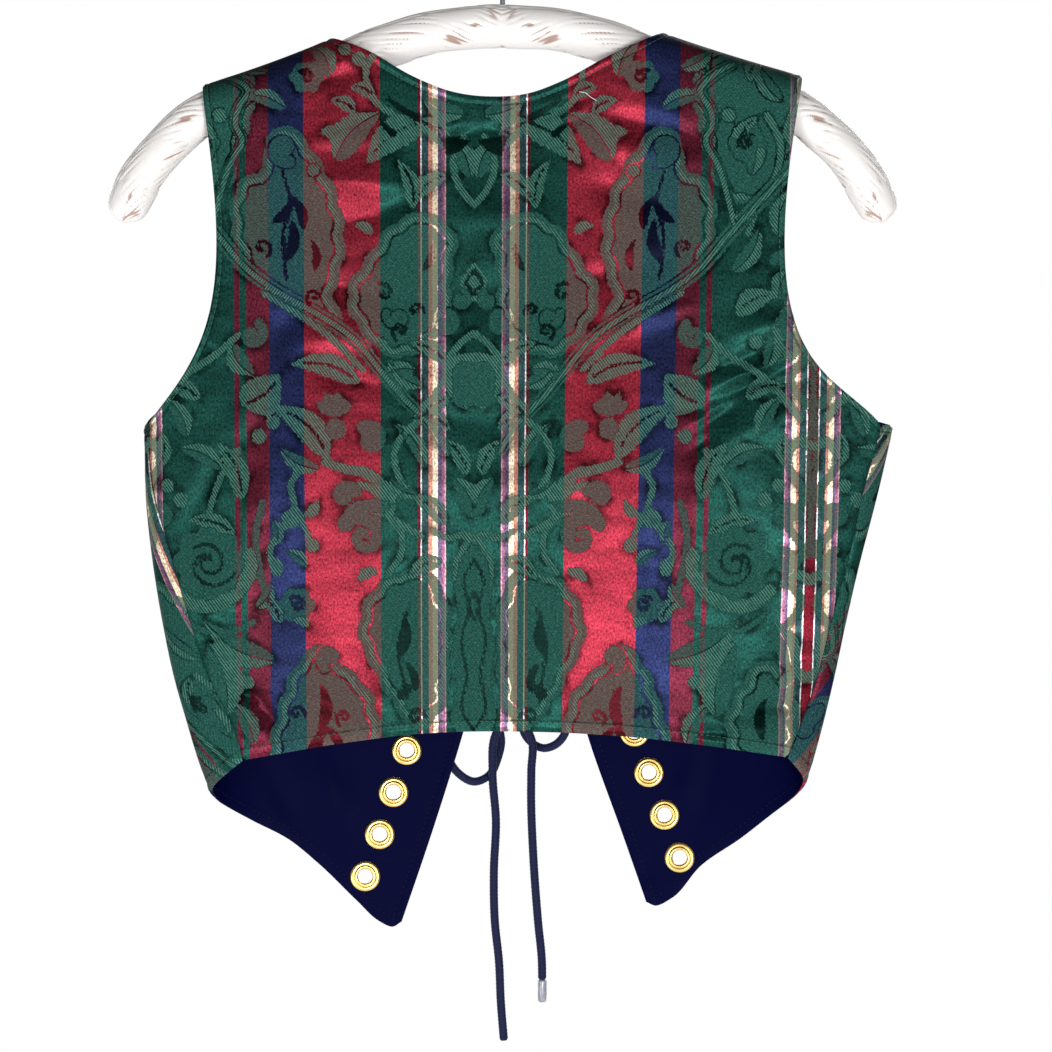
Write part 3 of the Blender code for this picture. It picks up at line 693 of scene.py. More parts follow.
def give_values(piece, **values):
    """Stores one number for each point of a mesh, for its material to read."""
    for name, numbers in values.items():
        layer = piece.data.attributes.new(name, "FLOAT", "POINT")
        layer.data.foreach_set("value", np.ascontiguousarray(np.ravel(numbers), np.float32))


def give_uv(piece, places):
    """A UV map in metres, from one place for each point."""
    corners = np.empty(len(piece.data.loops), np.int32)
    piece.data.loops.foreach_get("vertex_index", corners)
    layer = piece.data.uv_layers.new(name="cloth")
    layer.data.foreach_set("uv", np.ascontiguousarray(places[corners], np.float32).ravel())


print("meshes take their points in millimetres")


# %% Tubes along a route
def frames(line):
    """Two directions square to a line at each of its points, that don't twist."""
    ahead = np.gradient(line, axis=0)
    ahead /= np.linalg.norm(ahead, axis=1, keepdims=True)
    start = np.cross(ahead[0], (0.0, 1.0, 0.0))
    if np.linalg.norm(start) < 0.3:
        start = np.cross(ahead[0], (1.0, 0.0, 0.0))
    across = [start / np.linalg.norm(start)]
    for direction in ahead[1:]:
        following = across[-1] - direction * np.dot(across[-1], direction)
        across.append(following / np.linalg.norm(following))
    across = np.array(across)
    return across, np.cross(ahead, across)


def tube(line, radii, sides, relief=None):
    """Points and faces of a tube with closed ends, and the relief at each point."""
    across, up = frames(line)
    turn = np.linspace(0, 2 * pi, sides, endpoint=False)
    along = lengths(line)[:, None]
    raised = np.zeros((len(line), sides)) if relief is None else relief(along, turn[None])
    reach = np.asarray(radii, float)[:, None] + raised
    sideways = across[:, None] * (reach * np.cos(turn))[..., None]
    upwards = up[:, None] * (reach * np.sin(turn))[..., None]
    points = (line[:, None] + (sideways + upwards)).reshape(-1, 3)
    r, c = np.meshgrid(np.arange(len(line) - 1), np.arange(sides), indexing="ij")
    a, b = r * sides + c, r * sides + (c + 1) % sides
    faces = np.stack([a, b, b + sides, a + sides], axis=-1).reshape(-1, 4).tolist()
    faces.append(list(range(sides))[::-1])
    last = (len(line) - 1) * sides
    faces.append([last + i for i in range(sides)])
    return points, faces, raised.ravel()


print("tubes ready")

# %% Braid on a tube
BRAID_SIDES, BRAID_STEP = 24, 0.55
BRAID_AROUND, BRAID_PITCH, BRAID_DEPTH = 8, 2.1, 0.42
BRAID_RADIUS = LACE / 2 - 0.28
BRAID_ENDS = (0.62, 0.86, 0.96)


def braid_relief(along, turn):
    """Bumps where two sets of strands cross, in a lattice of diamonds."""
    a = BRAID_AROUND * turn / 2
    b = pi * along / BRAID_PITCH
    return BRAID_DEPTH * np.sqrt(np.abs(np.cos(a + b) * np.cos(a - b)))


def cord_line(route):
    """A route as a smooth line of close points."""
    rough = np.array([tuple(p) for p in route], float)
    total = lengths(rough)[-1]
    return through(rough, np.linspace(0, 1, int(total / BRAID_STEP)), fine=1500)


def braided(line):
    """A braided tube whose ends are rounded over."""
    radii = np.full(len(line), BRAID_RADIUS)
    for k, share in enumerate(BRAID_ENDS):
        radii[[k, -1 - k]] = BRAID_RADIUS * share
    return tube(line, radii, BRAID_SIDES, braid_relief)


print("braid:", BRAID_AROUND, "strands round a radius of", round(BRAID_RADIUS, 2), "mm")

# %% The finish of the braid
BETWEEN_STRANDS, STRAND = (0.0008, 0.0012, 0.008), (0.008, 0.012, 0.052)
FUZZ = (0.016, 0.022, 0.08)
braid = Finish("navy_braid", (0.008, 0.012, 0.045), 0.66, Sheen_Weight=0.03, Sheen_Roughness=0.5)
on_top = braid.step(braid.attribute("relief"), 0.05, 0.36)
fleck = braid.noise(braid.places(), 1900, 2.0, 0.6)
# Painted shade: between the strands the braid is about six times darker than on their tops
strands = braid.mix(on_top, BETWEEN_STRANDS, STRAND)
braid.shade(Base_Color=braid.mix(braid.times(fleck, 0.55), strands, FUZZ), Specular_IOR_Level=0.16)
braid.bump(fleck, 0.0003, 0.7)
print("navy braid ready")

# %% The stretches of lace
laces = {}
for name, route in ROUTES.items():
    line = cord_line(route)
    points, faces, raised = braided(line)
    piece = add_piece(f"lace_{name}_braid", points, faces, braid, "braid", ["lace_" + name])
    give_values(piece, relief=raised)
    laces[name] = (piece, line)
    print(piece.name, len(piece.data.polygons), "faces")

# %% [markdown]
# ## The knot and the tip
#
# The knot of a bow is two turns of the same cord round the roots of the loops. The turns
# are closed rings of braid, side by side and a little tilted, and short stubs of cord run
# into them from the loops, the laced halves and the free ends. One free end has a clear
# plastic tip, and the other is cut and sealed flat.

# %% The knot
TURN_RADIUS, TURN_POINTS, STUB_POINTS = 2.2, 44, 12
Turn = namedtuple("Turn", "across tilt tall deep")
KNOT_TURNS = rows_of(Turn, (-2.3, 0.14, 3.5, 2.9), (2.2, 0.2, 3.3, 2.8))
Stub = namedtuple("Stub", "start end")
STUBS = [
    Stub((side * 7.6, 0, way * 3), (side * 2, way * 0.4, way))
    for side in (-1, 1)
    for way in (1, -1)
]
STUBS += [
    Stub((side * KNOT_FROM_MIDDLE, 0, way * 6.2), (side, 0.8, 0))
    for way in (1, -1)
    for side in (-1, 1)
]


def knot_parts():
    """Each tube of the knot as points, faces and relief."""
    centre = np.array(KNOT)
    angle = np.linspace(0, 2 * pi, TURN_POINTS)
    for turn in KNOT_TURNS:
        rise = turn.tall * np.sin(angle)
        across = turn.across + 2 * turn.tilt * rise
        ring = np.stack([across, -turn.deep * np.cos(angle), rise], axis=1)
        yield tube(centre + ring, np.full(TURN_POINTS, TURN_RADIUS), BRAID_SIDES, braid_relief)
    for stub in STUBS:
        line = centre + spaced([stub.start, stub.end], np.linspace(0, 1, STUB_POINTS))
        yield tube(line, np.full(STUB_POINTS, BRAID_RADIUS), BRAID_SIDES, braid_relief)


parts = list(knot_parts())
points, faces = joined([part[:2] for part in parts])
knot = add_piece("lace_knot_braid", points, faces, braid, "braid", ["lace_knot"])
give_values(knot, relief=np.concatenate([raised for _, _, raised in parts]))
print("knot:", len(knot.data.polygons), "faces")

# %% The clear tip
clear = Finish("clear_tip", (0.3, 0.31, 0.36), 0.22, Coat_Weight=0.4, Coat_Roughness=0.1)
milky = clear.noise(clear.places(), 420)
clear.shade(Base_Color=clear.mix(milky, (0.14, 0.15, 0.2), (0.5, 0.51, 0.55)))
clear.bump(milky, 0.0002, 0.5)

TipRing = namedtuple("TipRing", "drop radius")
TIP = rows_of(
    TipRing,
    (0, 2.15), (0.3, 2.5), (1.2, 2.62), (4, 2.55), (8, 2.6), (11, 2.45), (12.4, 2.3),
    (12.9, 1.9), (13, 1.2),
)
tip_top = np.array(RIGHT_END[-1]) - (0, 0, END_GAP)
tip_line = np.array([tip_top - (0, 0, row.drop) for row in TIP])
TIP_SIDES = 24
points, faces, _ = tube(tip_line, [row.radius for row in TIP], TIP_SIDES)
tip = add_piece("lace_tip_sleeve", points, faces, clear, "clear_tip", ["lace_tip"], sharp=50)
print("tip:", len(tip.data.polygons), "faces")

# %% What each stretch of lace is
Stretch = namedtuple("Stretch", "name far_end lay pieces")
STRETCHES = rows_of(
    Stretch,
    ("laced_left", "object", "taut", []),
    ("laced_right", "object", "taut", []),
    ("loop_left", "object", "hanging", []),
    ("loop_right", "object", "hanging", []),
    ("end_left", "bare", "hanging", []),
    ("end_right", "fitting", "hanging", [tip]),
)
for stretch in STRETCHES:
    piece, line = laces[stretch.name]
    lengths(line)[-1] / 1000
    [tuple(p / 1000) for p in [*line[::4], line[-1]]]
    list(stretch.pieces)
    print(stretch.name, round(lengths(line)[-1]), "mm")

# %% [markdown]
# ## The woven ornament
#
# The cloth is a jacquard: a satin ground of coloured warp stripes, with leaves, scrolls,
# roses and scalloped bulbs woven over it in green weft. The design is mirrored left and
# right, and it repeats up the cloth. It is drawn here from a few kinds of stroke, as
# distances in millimetres to the nearest edge, minus inside. A distance stays sharp between
# the points of a mesh, so a shader can cut clean borders and bands from it.

# %% One half of the repeat, as a canvas of distances
HALF_WIDE, TALL, MARGIN = 197.5, 448, 60
FAR, FARTHER = 14.0, 99.0
PLAIN, HATCHED = -3.0, 3.0
KINDS = ("bulb", "sprig", "hollow", "side", "vein")
ACROSS, UP = np.meshgrid(
    np.arange(-MARGIN, HALF_WIDE + MARGIN + 1), np.arange(-MARGIN, TALL + MARGIN + 1)
)
canvas = {name: np.full(ACROSS.shape, FAR) for name in KINDS}


def window(points, around):
    """The part of the canvas near some points."""
    low, high = np.min(points, axis=0) - around, np.max(points, axis=0) + around
    starts = [max(int(value + MARGIN), 0) for value in low]
    ends = [max(int(value + MARGIN) + 2, 0) for value in high]
    return slice(starts[1], ends[1]), slice(starts[0], ends[0])


def lay(kind, here, distance, side=PLAIN, vein=FAR):
    """Joins a shape to what is drawn. side tells hatched parts, above 0, from plain ones."""
    nearer = distance < canvas[kind][here]
    canvas[kind][here] = np.where(nearer, distance, canvas[kind][here])
    if kind == "sprig":
        canvas["side"][here] = np.where(nearer, side, canvas["side"][here])
        canvas["vein"][here] = np.where(nearer, vein, canvas["vein"][here])


def to_segment(x, y, start, end):
    """How far along a segment each place is, and its distance to it."""
    (a, b), (c, d) = start, end
    e, f = c - a, d - b
    along = np.clip(((x - a) * e + (y - b) * f) / max(e * e + f * f, 1e-9), 0, 1)
    return along, np.hypot(x - a - along * e, y - b - along * f)


print("canvas of", ACROSS.shape, "places, one for each millimetre")


# %% Strokes and leaves
STROKE_REACH, LEAF_REACH = 12, 10
LEAF_BEND, LEAF_TEETH, TOOTH_DEPTH = 0.12, 4.6, 0.16
BROAD_LEAF = 8


def stroke(kind, points, wide, narrow, side=PLAIN, veined=False, fine=40):
    """A curve through a few points, as wide at its start and end as it says."""
    line = through(points, np.linspace(0, 1, fine))
    radii = np.linspace(wide, narrow, fine) / 2
    here = window(line, STROKE_REACH + max(radii))
    x, y = ACROSS[here], UP[here]
    best, offset = np.full(x.shape, FARTHER), np.full(x.shape, FAR)
    for start, end, ra, rb in zip(line[:-1], line[1:], radii[:-1], radii[1:]):
        along, gap = to_segment(x, y, start, end)
        distance = gap - ra - along * (rb - ra)
        nearer = distance < best
        best = np.where(nearer, distance, best)
        (e, f), (a, b) = end - start, start
        offset = np.where(nearer, gap * np.sign((x - a) * f - (y - b) * e), offset)
    lay(kind, here, best, side, offset if veined else FAR)


def leaf(row, kind="sprig"):
    """A bent leaf with a toothed edge. Its flip says which half is hatched; 2 is both."""
    cosine, sine = cos(radians(row.turn)), sin(radians(row.turn))
    foot = np.array((row.across, row.up))
    tip = foot + row.long * np.array((cosine, sine))
    here = window(np.array([foot, tip]), row.wide + LEAF_REACH)
    x, y = ACROSS[here] - row.across, UP[here] - row.up
    s, t = x * cosine + y * sine, -x * sine + y * cosine
    share = np.clip(s / row.long, 0, 1)
    way = 1 if row.flip > 0 else -1
    t = t - LEAF_BEND * row.long * np.sin(pi * share) * way
    tooth = TOOTH_DEPTH * np.abs(np.sin(pi * s / LEAF_TEETH)) if kind == "sprig" else 0
    half = row.wide / 2 * np.sin(pi * share**0.75) ** 0.85 * (0.88 + tooth)
    distance = np.maximum(np.abs(t) - half, np.maximum(-s, s - row.long))
    side = np.full(t.shape, HATCHED) if row.flip == 2 else np.clip(t * way, -FAR, FAR)
    lay(kind, here, distance * 0.9, side)
    if row.flip == 2 and row.wide > BROAD_LEAF:
        share = np.linspace(0.12, 0.82, 8)
        s, t = share * row.long, LEAF_BEND * row.long * np.sin(pi * share)
        rib = foot + np.stack([s * cosine - t * sine, s * sine + t * cosine], axis=1)
        stroke("hollow", rib, 1.9, 1.6)


def curl(row, kind="sprig"):
    """A scroll that winds in on itself, anticlockwise where its turns are above 0."""
    f = np.linspace(0, 1, 26)
    a = radians(row.start) + 2 * pi * row.turns * f
    r = row.radius * (1 - 0.86 * f**0.8)
    points = np.stack([row.across + r * np.cos(a), row.up + r * np.sin(a)], axis=1)
    stroke(kind, points, row.wide, row.narrow, fine=60)


print("strokes, leaves and scrolls can be drawn")


# %% Closed outlines, flowers and dots
def closed(kind, outline, side=PLAIN):
    """A shape inside a closed outline of points."""
    outline = np.asarray(outline, float)
    here = window(outline, STROKE_REACH + 1)
    x, y = ACROSS[here], UP[here]
    best, inside = np.full(x.shape, FARTHER), np.zeros(x.shape, bool)
    for start, end in zip(outline, np.roll(outline, -1, axis=0)):
        best = np.minimum(best, to_segment(x, y, start, end)[1])
        (a, b), (e, f) = start, end - start
        if f:
            inside ^= ((b > y) != (end[1] > y)) & (x < e * (y - b) / f + a)
    lay(kind, here, np.where(inside, -best, best), side)


def scalloped(row, fine=220):
    """A closed outline through a bulb's points, pushed out in small lobes."""
    line = through([*row.points, row.points[0]], np.linspace(0, 1, fine + 1))[:-1]
    following = np.roll(line, -1, axis=0)
    ahead = following - np.roll(line, 1, axis=0)
    out = np.stack([ahead[:, 1], -ahead[:, 0]], axis=1)
    out /= np.linalg.norm(out, axis=1, keepdims=True)
    turned = np.sum(line[:, 0] * following[:, 1] - line[:, 1] * following[:, 0])
    wave = np.abs(np.sin(pi * row.lobes * np.arange(fine) / fine))
    return line + out * (np.sign(turned) * row.deep * wave)[:, None]


def flower(row):
    """A round flower with lobed petals."""
    f = np.linspace(0, 2 * pi, 12 * row.petals, endpoint=False)
    lobes = np.abs(np.cos(row.petals * (f + row.turn) / 2))
    r = row.radius * (1 + row.depth * lobes - row.depth / 2)
    closed("sprig", np.stack([row.across + r * np.cos(f), row.up + r * np.sin(f)], axis=1))


def dot(row):
    """A round hatched berry."""
    here = window(np.array([(row.across, row.up)]), row.radius + STROKE_REACH)
    distance = np.hypot(ACROSS[here] - row.across, UP[here] - row.up) - row.radius
    lay("sprig", here, distance, HATCHED)


print("outlines, flowers and berries can be drawn")

# %% Scalloped bulbs, with a hatched band inside their edge
Bulb = namedtuple("Bulb", "lobes deep points")
BULBS = rows_of(
    Bulb,
    (17, 2.4, [(106, 346), (93, 330), (79, 302), (76, 272), (82, 246), (72, 226), (100, 236),
        (124, 256), (138, 284), (134, 312), (120, 322), (118, 338)]),
    (13, 2.3, [(28, 296), (44, 290), (60, 270), (72, 250), (64, 228), (46, 214), (30, 218),
        (16, 236), (14, 262), (12, 284)]),
    (13, 2.3, [(26, 92), (44, 90), (62, 74), (66, 54), (58, 36), (46, 16), (32, 2), (20, 12),
        (15, 40), (16, 72)]),
    (15, 2.4, [(90, 50), (76, 36), (62, 22), (56, 2), (58, -24), (72, -44), (96, -50), (114, -34),
        (118, -8), (112, 14), (102, 38)]),
    (11, 2.8, [(170, 40), (158, 22), (152, 2), (160, -20), (176, -30), (188, -16), (192, 10),
        (184, 32)]),
    (19, 2.2, [(144, 404), (132, 388), (127, 368), (129, 350), (134, 334), (139, 316), (148, 303),
        (164, 302), (178, 312), (188, 334), (191, 362), (186, 392), (168, 408)]),
)
for row in BULBS:
    closed("bulb", scalloped(row))
print(len(BULBS), "bulbs")

# %% Long stems and bands, some with a hatched vein
Line = namedtuple("Line", "wide narrow side points veined", defaults=[False])
LINES = rows_of(
    Line,
    (9, 7, PLAIN, [(186, 326), (170, 308), (147, 283), (131, 264), (112, 250), (94, 240),
        (70, 224), (52, 203), (38, 187), (26, 176), (16, 160)], True),
    (5, 3.6, HATCHED, [(120, 250), (98, 236), (80, 222), (64, 206)]),
    (7, 4.4, PLAIN, [(147, 382), (136, 374), (129, 366), (135, 356), (137, 347), (133, 338),
        (140, 324), (146, 306), (150, 290)], True),
    (4.2, 3.4, HATCHED, [(168, 352), (176, 336), (174, 318), (164, 300), (158, 284)]),
    (7, 5, HATCHED, [(48, 132), (54, 141), (62, 147), (73, 149), (86, 153)]),
    (6, 3.6, HATCHED, [(48, 127), (56, 136), (66, 141)]),
    (3.8, 3.4, HATCHED, [(30, 111), (42, 118), (54, 124), (64, 124)]),
    (4.4, 3.6, HATCHED, [(50, 124), (42, 112), (42, 102), (50, 90)]),
    (4.0, 3.6, HATCHED, [(0, 227), (8, 221), (14, 213), (18, 200), (26, 186)]),
    (4.0, 3.6, HATCHED, [(0, 110), (6, 112), (14, 110), (24, 114)]),
    (4.0, 3.6, HATCHED, [(0, 66), (8, 80), (10, 96), (4, 108)]),
    (4.2, 3.6, HATCHED, [(30, 178), (40, 170), (46, 158), (44, 146), (36, 134)]),
    (4.0, 3.4, HATCHED, [(98, 152), (106, 140), (104, 128), (110, 116), (118, 104),
        (116, 90)]),
    (3.8, 3.4, HATCHED, [(104, 128), (98, 116), (94, 106)]),
    (4.4, 3.6, PLAIN, [(122, 130), (126, 112), (124, 92), (118, 74), (104, 70)]),
    (5, 3.8, HATCHED, [(190, 178), (180, 190), (166, 204), (150, 214), (136, 226)]),
    (4, 3.6, HATCHED, [(136, 160), (146, 146), (152, 130), (156, 116)]),
    (4, 3.4, PLAIN, [(128, 62), (144, 56), (160, 58), (172, 66)]),
    (4, 3.6, HATCHED, [(34, 346), (46, 352), (58, 362), (62, 376), (54, 392)]),
    (4, 3.6, HATCHED, [(0, 300), (8, 310), (12, 324), (6, 340)]),
)
for row in LINES:
    stroke("sprig", row.points, row.wide, row.narrow, row.side, row.veined)
print(len(LINES), "stems and bands")

# %% Leaves. The last number says which half is hatched, and 2 is both
Leaf = namedtuple("Leaf", "across up turn long wide flip")
LEAVES = rows_of(
    Leaf,
    (66, 199, 14, 42, 14, 2), (84, 156, 42, 44, 17, 2), (90, 149, 30, 26, 10, -1),
    (134, 186, 142, 28, 24, 2), (140, 220, 232, 22, 13, 1), (28, 348, -36, 42, 19, 2),
    (80, 326, 134, 38, 19, -1), (35, 298, 72, 30, 10, 2), (57, 363, 20, 15, 9, 2),
    (68, 354, 26, 16, 9, 2), (59, 344, 30, 13, 8, 2), (77, 340, 10, 12, 8, 2),
    (82, 374, 60, 26, 12, 1), (58, 284, 24, 13, 6.5, 2), (56, 92, -30, 15, 7, 2),
    (4, 146, 58, 24, 10, 2), (0, 122, 62, 26, 14, 1), (28, 150, 54, 32, 9, 1),
    (32, 134, 30, 20, 8, -1), (30, 196, 40, 26, 10, -1), (34, 206, -12, 20, 9, 1),
    (134, 132, 66, 36, 13, 2), (146, 150, 24, 28, 11, 1), (138, 112, 16, 30, 10, 2),
    (116, 40, 30, 48, 16, -1), (145, 8, 76, 44, 20, 1), (176, 62, -70, 36, 15, 1),
    (97, 94, 34, 16, 7.5, 1), (113, 88, 62, 14, 7.5, 2), (114, 106, 80, 16, 7, 1),
    (96, 60, 24, 14, 7, 2), (112, 62, 52, 18, 9, 2), (98, 122, 128, 13, 7, 2),
    (126, 70, 120, 18, 8, 1), (152, 238, 26, 26, 14, 2), (176, 246, 66, 22, 11, 1),
    (158, 190, 18, 24, 11, 2), (170, 208, 84, 24, 10, -1), (186, 214, 110, 26, 11, 1),
    (166, 168, 60, 26, 11, 1), (184, 150, 96, 22, 10, 2), (150, 262, 60, 30, 11, -1),
    (176, 282, 74, 30, 12, 1), (188, 330, 94, 30, 12, 1), (160, 318, 96, 28, 11, -1),
    (150, 330, 58, 26, 10, 2), (176, 360, 120, 26, 10, 1), (158, 372, 70, 22, 9, 2),
    (108, 356, 16, 26, 10, 1), (118, 378, 40, 24, 9, -1), (2, 316, 62, 26, 12, 1),
    (16, 334, 40, 24, 11, 2), (6, 352, 24, 26, 12, -1), (0, 366, 58, 26, 12, 1),
    (28, 372, 74, 24, 10, 1), (16, 118, 38, 26, 11, 2), (14, 190, -38, 26, 10, 2),
    (16, 210, 28, 24, 10, 2), (14, 172, 24, 22, 9, 2), (18, 98, -30, 24, 10, 2),
    (16, 318, -42, 24, 10, 2), (14, 340, 20, 22, 10, 2), (128, -8, 60, 28, 11, 1),
)
for row in LEAVES:
    leaf(row)
print(len(LEAVES), "leaves")

# %% Scrolls, roses, buds and berries
Scroll = namedtuple("Scroll", "across up radius start turns wide narrow", defaults=[2.4, 2.0])
SCROLLS = rows_of(
    Scroll,
    (60, 166, 8.5, 60, 1.3, 7.5, 4.0), (64, 111, 11.5, 80, 1.15, 9.5, 4.4),
    (75, 134, 7, 160, -1.15, 7.0, 3.6), (84, 42, 7, 300, 1.1, 6.0, 3.6),
    (109, 333, 8.5, 250, 1.2, 7.0, 4.0), (16, 232, 7, 100, 1.1, 5.0, 3.6),
    (44, 236, 7, 20, -1.1, 5.0, 3.6), (8, 246, 6, 120, 1.0, 4.6, 3.6),
    (128, 226, 8, 120, 1.2, 5.4, 3.6), (182, 122, 8, 0, 1.2, 5.0, 3.6),
    (182, 96, 7, 90, -1.1, 4.6, 3.6), (180, 268, 7, 180, -1.1, 4.6, 3.6),
)
for row in SCROLLS:
    curl(row)

Flower = namedtuple("Flower", "across up radius petals depth turn")
FLOWERS = rows_of(
    Flower,
    (80, 172, 6, 5, 0.16, 0), (0, 198, 14, 4, 0.3, 0.8), (154, 96, 20, 8, 0.22, 0),
    (157, 336, 10, 6, 0.2, 0), (96, 374, 9, 6, 0.22, 0), (103, 72, 9.5, 6, 0.2, 0),
    (186, 232, 11, 6, 0.2, 0),
)
for row in FLOWERS:
    flower(row)

Berry = namedtuple("Berry", "across up radius")
BERRIES = rows_of(
    Berry,
    (106, 121, 5.4), (94, 106, 4.2), (92, 320, 3.6), (124, 168, 4.4), (116, 176, 4.0),
    (170, 132, 4.4), (178, 140, 4.0), (140, 34, 4.4), (132, 28, 4.0), (66, 384, 4.2),
    (74, 390, 3.8), (146, 352, 4.0), (164, 222, 4.2),
)
for row in BERRIES:
    dot(row)
print(len(SCROLLS), "scrolls,", len(FLOWERS), "flowers and", len(BERRIES), "berries")

# %% Single figures: a bud, two shapes on the mirror line and the strokes at the edges
BUD = [(70, 186), (76, 190), (79, 194), (82, 190), (86, 194)]
BUD += [(88, 188), (92, 188), (88, 181), (80, 179), (73, 181)]
LOZENGE = [(0, 268), (8.5, 256), (0, 244), (-8.5, 256)]
OGEE = [(0, 107), (7, 100), (12, 86), (9, 68), (13, 48), (10, 28), (14, 8), (7, -8)]
closed("sprig", BUD)
closed("sprig", LOZENGE, HATCHED)
closed("sprig", [*OGEE, *[(-x, y) for x, y in OGEE[:0:-1]]])

SPRIG_FEET = (28, 84, 160, 214, 288, 352)
OUTER_STROKES = rows_of(
    Line,
    (9, 9, PLAIN, [(50, 129), (58, 128), (68, 126), (75, 118)]),
    (5.5, 4, HATCHED, [(1, 213), (8, 212), (14, 205), (13, 194), (5, 185)]),
    (3.4, 2.6, HATCHED, [(0, 203), (5, 204), (8, 199), (4, 193)]),
    (5, 5, PLAIN, [(184, 58), (193, 74), (184, 88), (193, 102), (184, 118), (193, 134),
        (184, 150)]),
    (5, 5, PLAIN, [(193, 186), (184, 200), (193, 216), (184, 232), (193, 250), (185, 266)]),
    (3.2, 2.6, PLAIN, [(196, 100), (197, 130), (195.5, 150), (197, 190), (196, 230)]),
    *[
        (6, 6, HATCHED, [(183, foot), (190, foot + 5), (198, foot + 2)])
        for foot in SPRIG_FEET
    ],
    (9, 7, HATCHED, [(129, 100), (131, 88), (139, 78), (150, 72), (164, 72), (175, 80)]),
)
for row in OUTER_STROKES:
    stroke("sprig", row.points, row.wide, row.narrow, row.side, row.veined)
print(len(OUTER_STROKES), "more strokes")

# %% Openings inside the figures, where the satin ground shows
CURLED_OPENINGS = rows_of(
    Scroll,
    (154, 96, 12, 40, 1.3), (157, 336, 5.5, 40, 1.3),
    (96, 374, 5, 40, 1.3), (103, 72, 5.4, 40, 1.3),
    (186, 232, 6, 40, 1.3), (154, 96, 17, 200, 0.85, 2.2, 2.0),
    (92, 248, 5.5, 300, 1.1), (122, 276, 6, 240, -1.1),
    (34, 8, 6, 180, -1.1, 2.6, 2.2), (42, 22, 5, 120, 1.1, 2.6, 2.2),
    (52, 250, 6, 60, 1.1), (42, 228, 6, 300, 1.1, 2.6, 2.2),
    (34, 240, 5, 200, -1.1), (76, 8, 5.5, 300, 1.1),
    (104, 10, 5.5, 200, -1.1),
)
LEAF_OPENINGS = rows_of(
    Leaf,
    (108, 268, 96, 26, 8, 1), (98, 286, 70, 22, 7, 1), (116, 290, 128, 20, 7, 1),
    (92, 262, 84, 20, 6, 1), (88, 2, 84, 26, 8, 1), (78, -14, 60, 20, 7, 1),
    (98, -12, 118, 22, 7, 1), (44, 42, 96, 26, 8, 1), (34, 22, 70, 20, 6, 1),
    (30, 262, 110, 20, 6, 1), (172, -6, 84, 26, 8, 1),
)
Slit = namedtuple("Slit", "wide narrow points")
SLITS = rows_of(
    Slit,
    (2.2, 2.0, [(108, 258), (110, 282), (106, 304), (110, 320)]),
    (2.2, 2.0, [(88, -20), (90, 6), (86, 24)]),
    (2.2, 2.0, [(40, 22), (44, 50), (38, 70)]),
    (2.4, 2.4, [(0, 249), (4.5, 256), (0, 263)]),
    (2.0, 2.0, [(0, 98), (6, 86), (3, 72), (7, 52), (4, 32), (7, 12), (0, 0)]),
    (2.0, 2.0, [(0, 80), (3, 72), (0, 64)]),
    (4.5, 2.5, [(32, 350), (41, 355), (49.5, 361)]),
    (4.0, 3.0, [(46, 341), (53, 347)]),
)
# A wedge of painted shade under the neckline: it is drawn as an opening, so the ground there is
# darkened though no figure covers it
PAINTED_SHADE_WEDGE = [(19, 340), (10, 339), (1, 337.5), (8, 331), (16, 328)]

for row in CURLED_OPENINGS:
    curl(row, "hollow")
for row in LEAF_OPENINGS:
    leaf(row, "hollow")
for row in SLITS:
    stroke("hollow", row.points, row.wide, row.narrow)
closed("hollow", PAINTED_SHADE_WEDGE)
print(len(CURLED_OPENINGS) + len(LEAF_OPENINGS) + len(SLITS) + 1, "openings")


# %% The finished repeat: mirrored at both sides and joined top to bottom
def folded():
    """What is drawn past the sides and ends of the canvas comes back in on the far side."""
    wide = int(HALF_WIDE) + 1
    best = {}
    for lift in (0, -TALL, TALL):
        rows = np.arange(TALL) + MARGIN + lift
        low = (rows >= 0) & (rows < ACROSS.shape[0])
        for columns, flipped in (
            (np.arange(wide) + MARGIN, False),
            (MARGIN - np.arange(wide), True),
            (MARGIN + 2 * int(HALF_WIDE) - np.arange(wide), True),
        ):
            held = low[:, None] & ((columns >= 0) & (columns < ACROSS.shape[1]))[None]
            picked = {}
            for name, drawn in canvas.items():
                some = drawn[np.clip(rows, 0, drawn.shape[0] - 1)]
                some = some[:, np.clip(columns, 0, drawn.shape[1] - 1)]
                picked[name] = np.where(held, some, FAR)
            if flipped:
                vein = picked["vein"]
                picked["vein"] = np.where(np.abs(vein) < FAR, -vein, FAR)
            if not best:
                best = picked
                continue
            nearer = picked["sprig"] < best["sprig"]
            for name in ("bulb", "hollow"):
                best[name] = np.minimum(best[name], picked[name])
            for name in ("side", "vein", "sprig"):
                best[name] = np.where(nearer, picked[name], best[name])
    return best


repeat = folded()
for name, drawn in repeat.items():
    print(name, "covers", round(float((drawn < 0).mean()), 2))


# %% The repeat at any place on the cloth
def ornament(places):
    """The repeat's distances, in millimetres, at places on the cloth in metres."""
    across = np.abs((places[:, 0] * 1000 + HALF_WIDE) % (2 * HALF_WIDE) - HALF_WIDE)
    up = places[:, 1] * 1000 % TALL
    column, row = np.minimum(across.astype(int), int(HALF_WIDE) - 1), up.astype(int) % TALL
    u, v = across - column, up - up.astype(int)
    above = (row + 1) % TALL
    values = {}
    for name, drawn in repeat.items():
        low = drawn[row, column] * (1 - u) + drawn[row, column + 1] * u
        high = drawn[above, column] * (1 - u) + drawn[above, column + 1] * u
        values[name] = low * (1 - v) + high * v
    return values


print("the repeat is", 2 * HALF_WIDE, "mm wide and", TALL, "mm tall")

